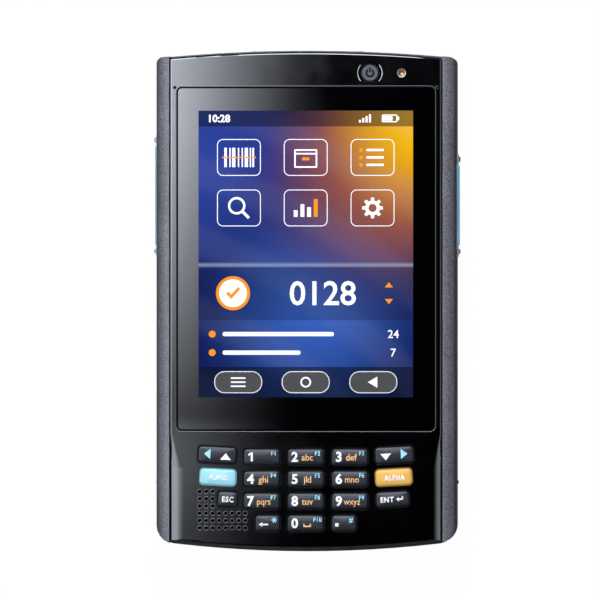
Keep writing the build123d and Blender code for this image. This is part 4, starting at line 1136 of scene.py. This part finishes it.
    def grille_cloth(self) -> None:
        """Glue the black cloth behind the grille, an L cut from thin sheet."""
        dx, dy = self.cloth_edge
        left, top = self.grille_start[0] - dy, self.grille_start[1] + dy
        right, low = self.grille_hole(7, 5)[0] + dx, self.grille_hole(7, 5)[1] - dy
        inner_x, inner_y = self.grille_hole(2, 3)[0] + dx, self.grille_hole(2, 3)[1] + dy
        outline = np.array([(left, low), (right, low), (right, inner_y), (inner_x, inner_y),
                            (inner_x, top), (left, top)])
        cloth = Solid()
        cloth.prism(outline, *self.cloth_span, CLOTH)
        cloth.piece("speaker_cloth", ROOT, "silicone")

    def build(self) -> None:
        """Make every fitting."""
        self.window_groove()
        self.corner_dimples()
        self.grille_cloth()
        self.power_sign()
        self.power_brackets()
        self.status_light()
        self.grille_rims()


# ------------------------------------------------------------------------------ display


@dataclass(frozen=True)
class Glow:
    """A round glow in the display's picture.

    Attributes:
        middle: Where it is brightest.
        reach: How far it goes.
        tone: Its colour, 0 to 255.
        strength: Its share at the middle.
    """

    middle: Point
    reach: float
    tone: Colour
    strength: float


GLOWS = (
    Glow((-30, 40), 46, (44, 66, 158), 1.0), Glow((2, -3), 34, (54, 98, 190), 0.95),
    Glow((18, 30), 38, (108, 66, 84), 0.9), Glow((32, 46), 46, (204, 112, 28), 1.0),
    Glow((33, 50), 32, (252, 196, 0), 1.0),
)
STRIPES = ((-3.6, 0.7), (-2.4, 0.35), (-1.4, 0.9), (-0.1, 0.35), (0.9, 0.35), (2.0, 0.9),
           (3.1, 0.35), (3.85, 0.5))             # place and width of each stripe
TICK = np.array([(-0.5, -1.4), (2.0, 1.3), (1.4, 1.9), (-0.5, -0.1), (-1.3, 0.7), (-1.9, 0.1)])


class Sign(Enum):
    """What the outline signs on the display show."""

    STRIPES = "stripes"
    CRATE = "crate"
    LIST = "list"
    SEARCH = "search"
    CHART = "chart"
    COG = "cog"


@dataclass
class Display:
    """The lit picture behind the window: a plain colour wash with generic signs.

    Attributes:
        width: Of the lit area.
        height: Of the lit area.
        middle: Of the lit area, along Y.
        strip_height: Of the darker strip at the top.
        keys_height: Of the darker strip at the bottom.
        panel: Lower and upper edge of the dim band.
        panel_line: Middle of the pale line over that band.
        ground: Colour of the picture where nothing glows.
        sheet_span: Heights between which the lit sheet lies.
        ink_span: Heights between which the signs lie.
        counter: Middle of the counter, along Y.
        ink: The signs.
        pen: Writes the words.
    """

    width: float = 57.8
    height: float = 77.2
    middle: float = 12.65
    strip_height: float = 4.2
    keys_height: float = 8.2
    panel: Point = (-5.2, 9.2)
    panel_line: float = 9.7
    ground: Colour = (14, 28, 92)
    sheet_span: Point = (LENS_FRONT + 0.002, LENS_FRONT + 0.012)
    ink_span: Point = (LENS_FRONT + 0.012, LENS_FRONT + 0.03)
    counter: float = 2.1
    ink: Solid = field(default_factory=Solid)
    pen: Lettering = field(default_factory=Lettering)

    @property
    def top(self) -> float:
        """Upper edge of the lit area."""
        return self.middle + self.height / 2

    @property
    def bottom(self) -> float:
        """Lower edge of the lit area."""
        return self.middle - self.height / 2

    def ground_glow(self, board: NodeBoard, x: Socket, y: Socket) -> Socket:
        """Paint the round glows over the dark ground.

        Formula: each glow is weighted by a smooth fall with the distance from its middle.

        Args:
            board: The material's nodes.
            x: Place along X.
            y: Place along Y.

        Returns:
            The colour.
        """
        colour: object = linear(self.ground)
        for glow in GLOWS:
            dx = board.maths("SUBTRACT", x, float(glow.middle[0]))
            dy = board.maths("SUBTRACT", y, float(glow.middle[1]))
            squares = board.maths("ADD", board.maths("MULTIPLY", dx, dx),
                                  board.maths("MULTIPLY", dy, dy))
            weight = board.spread(board.maths("SQRT", squares), 0.0, float(glow.reach),
                                  glow.strength, 0.0)
            colour = board.blend(weight, colour, linear(glow.tone))
        return colour

    def wash(self) -> bpy.types.Material:
        """Paint the colour wash.

        Formula: over the glows lie long soft waves, a darker strip at the top and one at the
        bottom, and a dim band under a pale line.

        Returns:
            The material.
        """
        material, board = NodeBoard.material("display_wash")
        x, y, _ = board.axes(board.place())
        colour = self.ground_glow(board, x, y)
        wave = board.add("TexWave", Vector=board.place(location=(60, 90, 0)), wave_type="RINGS",
                         rings_direction="SPHERICAL", wave_profile="SIN", Scale=0.018,
                         Distortion=1.2, Detail=1.0)
        lift = board.spread(wave.outputs["Fac"], 0.2, 0.95, 0.0, 0.05)
        colour = board.blend(lift, colour, linear((170, 176, 214)))
        strips = ((self.top - self.strip_height - 0.05, self.top + 1, 0.66),
                  (self.bottom - 1, self.bottom + self.keys_height, 0.72))
        for low, high, dim in strips:
            share = board.maths("MULTIPLY", board.between(y, low, high), dim)
            colour = board.blend(share, colour, (0.002, 0.005, 0.014, 1.0))
        share = board.maths("MULTIPLY", board.between(y, *self.panel), 0.36)
        colour = board.blend(share, colour, linear((12, 20, 54)))
        away = board.maths("ABSOLUTE", board.maths("SUBTRACT", y, self.panel_line))
        colour = board.blend(board.spread(away, 0.0, 0.9, 0.5, 0.0), colour,
                             linear((170, 184, 206)))
        shader = board.add("BsdfPrincipled", Emission_Color=colour)
        shader.inputs["Base Color"].default_value = (0.004, 0.004, 0.006, 1.0)
        shader.inputs["Emission Strength"].default_value = 1.0
        shader.inputs["Roughness"].default_value = 0.35
        shader.inputs["Specular IOR Level"].default_value = 0.0
        board.show(shader)
        return material

    def picture(self) -> None:
        """Lay the lit sheet, a thin plate with its colour wash."""
        solid = Solid()
        outline = placed(rounded(self.width, self.height, 0.15, 2), (0, self.middle))
        solid.prism(outline, *self.sheet_span, SCREEN_WHITE)
        made = solid.piece("display_picture", ROOT, "display_glass")
        made.data.materials[0] = self.wash()

    def stamp(self, outline: np.ndarray, at: Point, finish: Finish = SCREEN_WHITE,
              turn: float = 0.0, lift: float = 0.0) -> None:
        """Put an anticlockwise outline on the sheet, turned, moved and lifted above the signs."""
        low, high = self.ink_span
        self.ink.prism(placed(outline, at, turn), low + lift, high + lift, finish)

    def frame(self, width: float, height: float, radius: float, line: float, at: Point) -> None:
        """Put a rounded frame on the sheet, as one closed ring of quads.

        Formula: a rectangle as wide as the line is carried round the frame's outline.

        Args:
            width: Size along X.
            height: Size along Y.
            radius: Of its outer corners.
            line: Width of its line.
            at: Its middle.
        """
        low, high = self.ink_span
        outer = placed(rounded(width, height, radius), at)
        inner = placed(rounded(width - 2 * line, height - 2 * line, max(radius - line, 0.05)), at)
        loops = ((outer, low), (outer, high), (inner, high), (inner, low))
        self.ink.rings(np.stack([level(loop, z) for loop, z in loops]), SCREEN_WHITE, closed=True)

    def write(self, text: str, height: float, at: Point, weight: float) -> None:
        """Write white letters on the sheet, with capitals of that height and their middle there."""
        low, high = self.ink_span
        self.pen.write(self.ink, Word(text, height, at, SCREEN_WHITE, weight), at, low, high - low)

    def status_strip(self) -> None:
        """Put a clock, four bars and a battery on the strip at the top."""
        row = self.top - self.strip_height / 2
        self.write("10:28", 1.9, (-23.2, row), 0.03)
        for step in range(4):
            self.stamp(bar((0, 0), (0, 0.7 + 0.5 * step), 0.55), (14.6 + 0.9 * step, row - 1.1))
        self.frame(4.2, 2.1, 0.4, 0.3, (22.6, row))
        self.stamp(rounded(2.6, 1.2, 0.1, 1), (22.1, row))
        self.stamp(rounded(0.45, 1.0, 0.1, 1), (24.95, row))

    def counter_panel(self) -> None:
        """Put a tick in a disc, a number and two small arrows on the dim band."""
        x, y = -19.6, self.counter
        self.write("0128", 6.2, (4.6, y), 0.012)
        for side in (-1, 1):
            self.stamp(np.array([(-1.1, -0.65), (1.1, -0.65), (0, 0.75)]), (22.4, y + side * 2.2),
                       SCREEN_ORANGE, 0 if side > 0 else 180)
        self.stamp(circle(4.6, 48), (x, y), SCREEN_ORANGE)
        self.stamp(circle(3.75, 48), (x, y), lift=0.006)
        self.stamp(TICK, (x, y - 0.2), SCREEN_ORANGE, lift=0.012)

    def list_lines(self) -> None:
        """Put two list lines, each a dot, a bar and a number, under the band."""
        for index, (length, number) in enumerate(((30.0, "24"), (21.0, "7"))):
            y = -8.9 - 5.0 * index
            self.stamp(circle(0.95, 20), (-25.2, y), SCREEN_ORANGE)
            self.stamp(rounded(length, 1.15, 0.5, 3), (-22.4 + length / 2, y))
            self.write(number, 2.1, (23.6, y), 0.01)

    def soft_keys(self) -> None:
        """Put three grey buttons with a menu, a home and a back sign on the strip below."""
        for index in range(3):
            at = (-18.2 + 18.2 * index, self.bottom + self.keys_height / 2)
            self.stamp(rounded(12.6, 5.6, 2.6), at, SCREEN_GREY)
            self.frame(12.9, 5.9, 2.75, 0.28, at)
            for line in range(3) if index == 0 else ():
                self.stamp(rounded(4.0, 0.42, 0.15, 2), (at[0], at[1] - 1.1 + 1.1 * line),
                           lift=0.01)
            if index == 1:
                self.stamp(band(1.0, 1.45, 0, 359.9, 32), at, lift=0.01)
            if index == 2:
                self.stamp(np.array([(-1.5, 0), (1.1, -1.5), (1.1, 1.5)]), at, lift=0.01)

    def sign(self, kind: Sign, at: Point) -> None:
        """Put one outline sign, about 12 mm across, on the sheet.

        Args:
            kind: Which sign.
            at: Its middle.
        """
        x, y = at
        self.frame(11.8, 9.9, 1.6, 0.22, at)
        if kind is Sign.STRIPES:
            for place, width in STRIPES:
                self.stamp(bar((0, -2.6), (0, 2.6), width), (x + place, y))
            self.stamp(bar((-4.6, 0), (4.6, 0), 0.34), at, SCREEN_ORANGE, lift=0.008)
        elif kind is Sign.CRATE:
            self.frame(6.2, 5.0, 0.3, 0.42, (x, y - 0.3))
            self.stamp(bar((-3.1, 1.0), (3.1, 1.0), 0.42), at)
            self.stamp(rounded(2.0, 0.8, 0.2, 2), (x, y - 0.4), SCREEN_ORANGE, lift=0.008)
        elif kind is Sign.LIST:
            for line in (-2.0, 0.0, 2.0):
                self.stamp(circle(0.5, 16), (x - 3.1, y + line), SCREEN_ORANGE)
                self.stamp(rounded(4.8, 0.62, 0.25, 2), (x + 0.7, y + line))
        elif kind is Sign.SEARCH:
            self.stamp(band(1.75, 2.35, 0, 359.9, 32), (x - 0.6, y + 0.6))
            self.stamp(bar((0.95, -0.95), (2.7, -2.7), 0.75), at)
        elif kind is Sign.CHART:
            for line, tall in enumerate((1.8, 3.4, 2.6, 4.8)):
                self.stamp(bar((0, -2.4), (0, -2.4 + tall), 1.05), (x - 2.7 + 1.8 * line, y),
                           SCREEN_ORANGE if line == 3 else SCREEN_WHITE)
        else:
            self.stamp(band(1.1, 2.0, 0, 359.9, 32), at)
            for tooth in range(8):
                a = tooth * math.pi / 4
                self.stamp(rounded(0.9, 1.0, 0.15, 1),
                           (x + 2.3 * math.cos(a), y + 2.3 * math.sin(a)), turn=90 + 45 * tooth)

    def build(self) -> None:
        """Make the lit sheet and its signs."""
        self.picture()
        self.status_strip()
        for index, kind in enumerate(Sign):
            self.sign(kind, (-18.0 + 18.0 * (index % 3), self.top - 12.6 - 13.6 * (index // 3)))
        self.counter_panel()
        self.list_lines()
        self.soft_keys()
        self.ink.piece("display_signs", ROOT, "display_glass")


# ------------------------------------------------------------------------------ back and ends


@dataclass
class BackFittings:
    """Fine forms of the back and of both ends.

    Attributes:
        ribs: Number of grip ribs on the latch.
        rib_pitch: Distance between them.
        rib_half: Half their length.
        contacts: Number of contacts in the dock connector.
        pitch: Distance between them.
        plate_half: Half the width of a contact's plating.
        plate_reach: Where the plating starts and ends, from the connector's mouth inwards.
        plate_span: Heights between which it lies.
        sleeve: Inner and outer radius of the headset jack's sleeve.
        sleeve_depth: How deep it goes.
    """

    ribs: int = 5
    rib_pitch: float = 0.9
    rib_half: float = 3.6
    contacts: int = 18
    pitch: float = 24 / 18
    plate_half: float = 0.36
    plate_reach: Point = (0.86, 3.45)
    plate_span: Point = (9.62, 9.9)
    sleeve: Point = (1.58, 1.745)
    sleeve_depth: float = 3.0

    def latch_ribs(self) -> None:
        """Mould grip ribs on the latch's thumb pad.

        Formula: each is half an ellipse across the pad, y = middle + 0.26 cos a and
        z = back - 0.12 sin a, carried along X.
        """
        low, _ = (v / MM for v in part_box("lid_latch"))
        solid = Solid()
        a = np.linspace(0, math.pi, 7)
        for index in range(self.ribs):
            y = low.y + 1.2 + index * self.rib_pitch
            profile = np.column_stack([y + 0.26 * np.cos(a), low.z - 0.12 * np.sin(a) + 0.02])
            rings = np.stack([np.column_stack([np.full(len(a), x), profile])
                              for x in (self.rib_half, -self.rib_half)])
            solid.rings(rings, BLACK_PLASTIC)
        solid.piece("latch_grip_ribs", "lid_latch", "black_plastic", 40.0)

    def dock_pins(self) -> None:
        """Plate the front and the top of every contact in the dock connector with gold."""
        low, high = (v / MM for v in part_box("dock_connector"))
        front, back = (low.y + reach for reach in self.plate_reach)
        solid = Solid()
        for index in range(self.contacts):
            x = (low.x + high.x) / 2 + (index - (self.contacts - 1) / 2) * self.pitch
            left, right = x - self.plate_half, x + self.plate_half
            plate = np.array([(left, front), (right, front), (right, back), (left, back)])
            solid.prism(plate, *self.plate_span, GOLD)
        solid.piece("dock_contact_plating", ROOT, "brass")

    def jack_sleeve(self) -> None:
        """Line the headset jack's bore with a plated sleeve.

        Formula: a square profile in radius and depth is carried round the bore's axis, with the
        turned form's Z laid along the terminal's Y.
        """
        low, high = (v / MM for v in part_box("headset_jack"))
        inner, outer = self.sleeve
        profile = ((inner, self.sleeve_depth), (outer, self.sleeve_depth), (outer, 0.02),
                   (inner, 0.12))
        mouth = ((low.x + high.x) / 2, low.y, (low.z + high.z) / 2)
        solid = Solid()
        solid.rings(turned(profile, 32)[..., [0, 2, 1]] + mouth, BRIGHT_RING, closed=True)
        solid.piece("headset_jack_sleeve", ROOT, "steel", 40.0)

    def window_rim(self) -> None:
        """Frame the scan window with a fine rim.

        Formula: a slanted profile in the window's plane and depth is carried round its outline.
        """
        low, high = (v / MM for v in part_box("scan_window"))
        mouth = ((low.x + high.x) / 2, high.y, (low.z + high.z) / 2)
        loops = [level(rounded(high.x - low.x + 2 * gap, high.z - low.z + 2 * gap, 0.5), depth)
                 for gap, depth in ((-0.05, 0.0), (-0.35, 0.0), (-0.42, 0.28), (-0.05, 0.28))]
        solid = Solid()
        solid.rings(np.stack(loops)[..., [0, 2, 1]] + mouth, BLACK_PLASTIC, closed=True)
        solid.piece("scan_window_rim", ROOT, "black_plastic")

    def build(self) -> None:
        """Make every form of the back and ends."""
        self.latch_ribs()
        self.dock_pins()
        self.jack_sleeve()
        self.window_rim()


# ------------------------------------------------------------------------------ studio


@dataclass(frozen=True)
class Lamp:
    """A soft square lamp that points at the terminal and isn't mirrored in it.

    Attributes:
        name: Its name.
        place: Its middle, in metres.
        size: Its side, in metres.
        power: In watts.
    """

    name: str
    place: Place
    size: float
    power: float

    def build(self) -> None:
        """Make the lamp."""
        data = bpy.data.lights.new(self.name, "AREA")
        data.shape = "RECTANGLE"
        data.size = data.size_y = self.size
        data.energy = self.power
        made = bpy.data.objects.new(self.name, data)
        made.location = self.place
        made.rotation_euler = Vector(self.place).to_track_quat("Z", "Y").to_euler()
        made.visible_glossy = made.visible_camera = False
        bpy.context.scene.collection.objects.link(made)


@dataclass
class Studio:
    """Camera, soft lamps, pale floor and the card that the polished front reflects.

    The card's sizes are in metres along its own X and Y.

    Attributes:
        distance: Camera to the terminal, in metres.
        view: Width of the picture at the terminal, in metres.
        swing: Degrees by which the camera stands to the right.
        aim: Point in the middle of the picture, in metres.
        lamps: The soft lamps.
        floor_half: Half the floor's side, in metres.
        card_half: Half the card's side.
        card_height: Of the card, in metres.
        dark_lean: How far the dark zone's left border moves along X for each metre of Y.
        dark_left: Where that border lies at the middle, to the left.
        dark_reach: Over which the light rises from that border.
        keypad_cap: Highest light beside the keypad.
        fade_start: Where the light towards the keypad's end has gone.
        fade_reach: Over which it does.
        keypad_light: Least light beside the keypad.
        end_light: Light at the keypad's end.
        near_strength: Of the light close to the middle.
        left_patch: Where the bright patch on the left starts and is full, and its strength.
        right_patch: The same for the weak patch on the right.
        top_patch: The same for the patch past the top end.
        patch_limit: How far the light and the patches beside it reach along Y.
        top_limit: How far the patch past the top end reaches along X, and along Y.
    """

    distance: float = 4.0
    view: float = 0.1618
    swing: float = 2.3
    aim: Place = (-0.00182, 0.00027, 0.018)
    lamps: tuple[Lamp, ...] = (Lamp("close_lamp", (0.0, 0.18, 0.24), 0.16, 0.37),
                               Lamp("overhead_lamp", (-0.1, 0.15, 1.3), 0.6, 2.4))
    floor_half: float = 3.0
    card_half: float = 2.6
    card_height: float = 1.2
    dark_lean: float = 0.09
    dark_left: float = 0.0456
    dark_reach: float = 0.056
    keypad_cap: Ramp = (-0.045, -0.035, 0.76, 1.0)
    fade_start: float = 0.0577
    fade_reach: float = 0.116
    keypad_light: Ramp = (-0.0385, -0.0445, 0.0, 0.36)
    end_light: Ramp = (-0.085, -0.055, 0.55, 1.0)
    near_strength: float = 13.2
    left_patch: tuple[Point, float] = ((-0.12, -1.0), 6.6)
    right_patch: tuple[Point, float] = ((0.5, 1.4), 3.6)
    top_patch: tuple[Point, float] = ((0.14, 0.2), 27.0)
    patch_limit: Ramp = (0.9, 1.4, 1.0, 0.0)
    top_limit: tuple[Ramp, Ramp] = ((0.4, 0.9, 1.0, 0.0), (1.2, 2.0, 1.0, 0.0))

    def camera(self) -> None:
        """Place the camera over the display."""
        a = math.radians(self.swing)
        back = Vector((math.sin(a), 0.0, math.cos(a)))
        right = Vector((math.cos(a), 0.0, -math.sin(a)))
        turn = Matrix((right, back.cross(right), back)).transposed().to_4x4()
        data = bpy.data.cameras.new("camera")
        data.sensor_width = 36.0
        data.lens = data.sensor_width * self.distance / self.view
        data.clip_start = 0.05
        made = bpy.data.objects.new("camera", data)
        made.matrix_world = Matrix.Translation(Vector(self.aim) + back * self.distance) @ turn
        bpy.context.scene.collection.objects.link(made)
        bpy.context.scene.camera = made

    def world(self) -> None:
        """Make the world white for the camera, and dim for reflections and for what it lights.

        Formula: both dim parts change softly with the height of the direction.
        """
        world = bpy.data.worlds.new("studio_world")
        world.use_nodes = True
        bpy.context.scene.world = world
        board = NodeBoard(world.node_tree)
        path = board.add("LightPath")
        rise = board.axes(board.add("TexCoord").outputs["Generated"])[2]
        dim = board.add("Mix", data_type="FLOAT")
        for index, value in ((0, path.outputs["Is Glossy Ray"]),
                             (2, board.spread(rise, 0.0, 1.0, 0.1, 0.34)),
                             (3, board.spread(rise, 0.0, 0.5, 0.26, 0.12))):
            board.feed(dim.inputs[index], value)
        soft = board.add("Background", Color=(0.95, 0.97, 1.0, 1.0), Strength=dim.outputs[0])
        white = board.add("Background", Color=(1.0, 1.0, 1.0, 1.0), Strength=1.0)
        seen = board.maths("MAXIMUM", path.outputs["Is Camera Ray"],
                           path.outputs["Is Transmission Ray"])
        board.show(board.mix(seen, soft, white), "OutputWorld")

    @staticmethod
    def plane(name: str, half: float, height: float,
              material: bpy.types.Material) -> bpy.types.Object:
        """Lay a flat square that isn't part of the terminal.

        Args:
            name: Its name.
            half: Half its side, in metres.
            height: In metres.
            material: Its material.

        Returns:
            The new object.
        """
        corners = np.array([(-1, -1), (1, -1), (1, 1), (-1, 1)], float) * half
        mesh = bpy.data.meshes.new(name)
        mesh.from_pydata(level(corners, height).tolist(), [], [(0, 1, 2, 3)])
        mesh.materials.append(material)
        made = bpy.data.objects.new(name, mesh)
        bpy.context.scene.collection.objects.link(made)
        return made

    def floor(self) -> None:
        """Lay a pale floor that the camera sees as white, with a soft shadow."""
        material, board = NodeBoard.material("floor_pale")
        path = board.add("LightPath")
        pale = board.add("BsdfDiffuse", Color=(0.3, 0.3, 0.31, 1.0))
        white = board.add("Emission", Color=(1.0, 1.0, 1.0, 1.0), Strength=1.12)
        share = board.maths("MULTIPLY", path.outputs["Is Camera Ray"], 0.88)
        board.show(board.mix(share, pale, white))
        self.plane("floor", self.floor_half, -0.0002, material)

    def card_light(self, board: NodeBoard) -> Socket:
        """Work out where the card shines.

        Formula: close to the middle its left part shines with the square of the distance from a
        dark zone and fades towards the keypad's end. Further out lie a bright patch on the left,
        a weak one on the right and the brightest past the top end, each with soft borders.

        Args:
            board: The card's nodes.

        Returns:
            The strength of its light.
        """
        x, y, _ = board.axes(board.place((1.0, 1.0, 1.0)))
        border = board.maths("SUBTRACT", board.maths("MULTIPLY", y, self.dark_lean), self.dark_left)
        left = board.maths("DIVIDE", board.maths("SUBTRACT", border, x), self.dark_reach,
                           clamp=True)
        left = board.maths("MINIMUM", left, board.spread(y, *self.keypad_cap))
        fall = board.maths("DIVIDE", board.maths("ADD", y, self.fade_start), self.fade_reach,
                           clamp=True)
        fall = board.maths("MAXIMUM", fall, board.spread(y, *self.keypad_light))
        fall = board.maths("MULTIPLY", fall, board.spread(y, *self.end_light))
        near = board.maths("MULTIPLY", board.maths("POWER", left, 2.0), fall)
        inside = board.spread(board.maths("ABSOLUTE", y), *self.patch_limit)
        across, along = self.top_limit
        top = board.maths("MULTIPLY", board.spread(board.maths("ABSOLUTE", x), *across),
                          board.spread(y, *along))
        shine = board.maths("MULTIPLY", near, self.near_strength, inside)
        patches = ((x, self.left_patch, inside), (x, self.right_patch, inside),
                   (y, self.top_patch, top))
        for place, (bounds, strength), limit in patches:
            patch = board.maths("MULTIPLY", board.spread(place, *bounds), strength, limit)
            shine = board.maths("ADD", shine, patch)
        return shine

    def overhead_card(self) -> None:
        """Hang the large card over the terminal, seen in reflections alone."""
        material, board = NodeBoard.material("overhead_card")
        light = board.add("Emission", Color=(0.85, 0.9, 1.0, 1.0), Strength=self.card_light(board))
        board.show(light)
        card = self.plane("overhead_card", self.card_half, self.card_height, material)
        card.visible_camera = card.visible_diffuse = card.visible_shadow = False
        card.visible_transmission = card.visible_volume_scatter = False

    def build(self) -> None:
        """Set the studio up."""
        bpy.context.scene.view_settings.view_transform = "Standard"
        self.camera()
        self.world()
        self.floor()
        self.overhead_card()
        for lamp in self.lamps:
            lamp.build()


def dress_frame(frame: dict) -> None:
    """Give every CAD node its finish.
    """
    for name, finish in NODE_FINISHES.items():
        for slot in frame["nodes"][name].material_slots:
            slot.material = finish.material()
        log.info("node %s wears %s", name, finish.name)


def main() -> None:
    """Build the looks round the frame, in order."""
    logging.basicConfig(level=logging.INFO, format="%(name)s: %(message)s")
    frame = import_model()
    Studio().build()
    dress_frame(frame)
    Display().build()
    Keypad().build()
    FrontPanel().build()
    BackFittings().build()


if __name__ == "__main__":
    main()
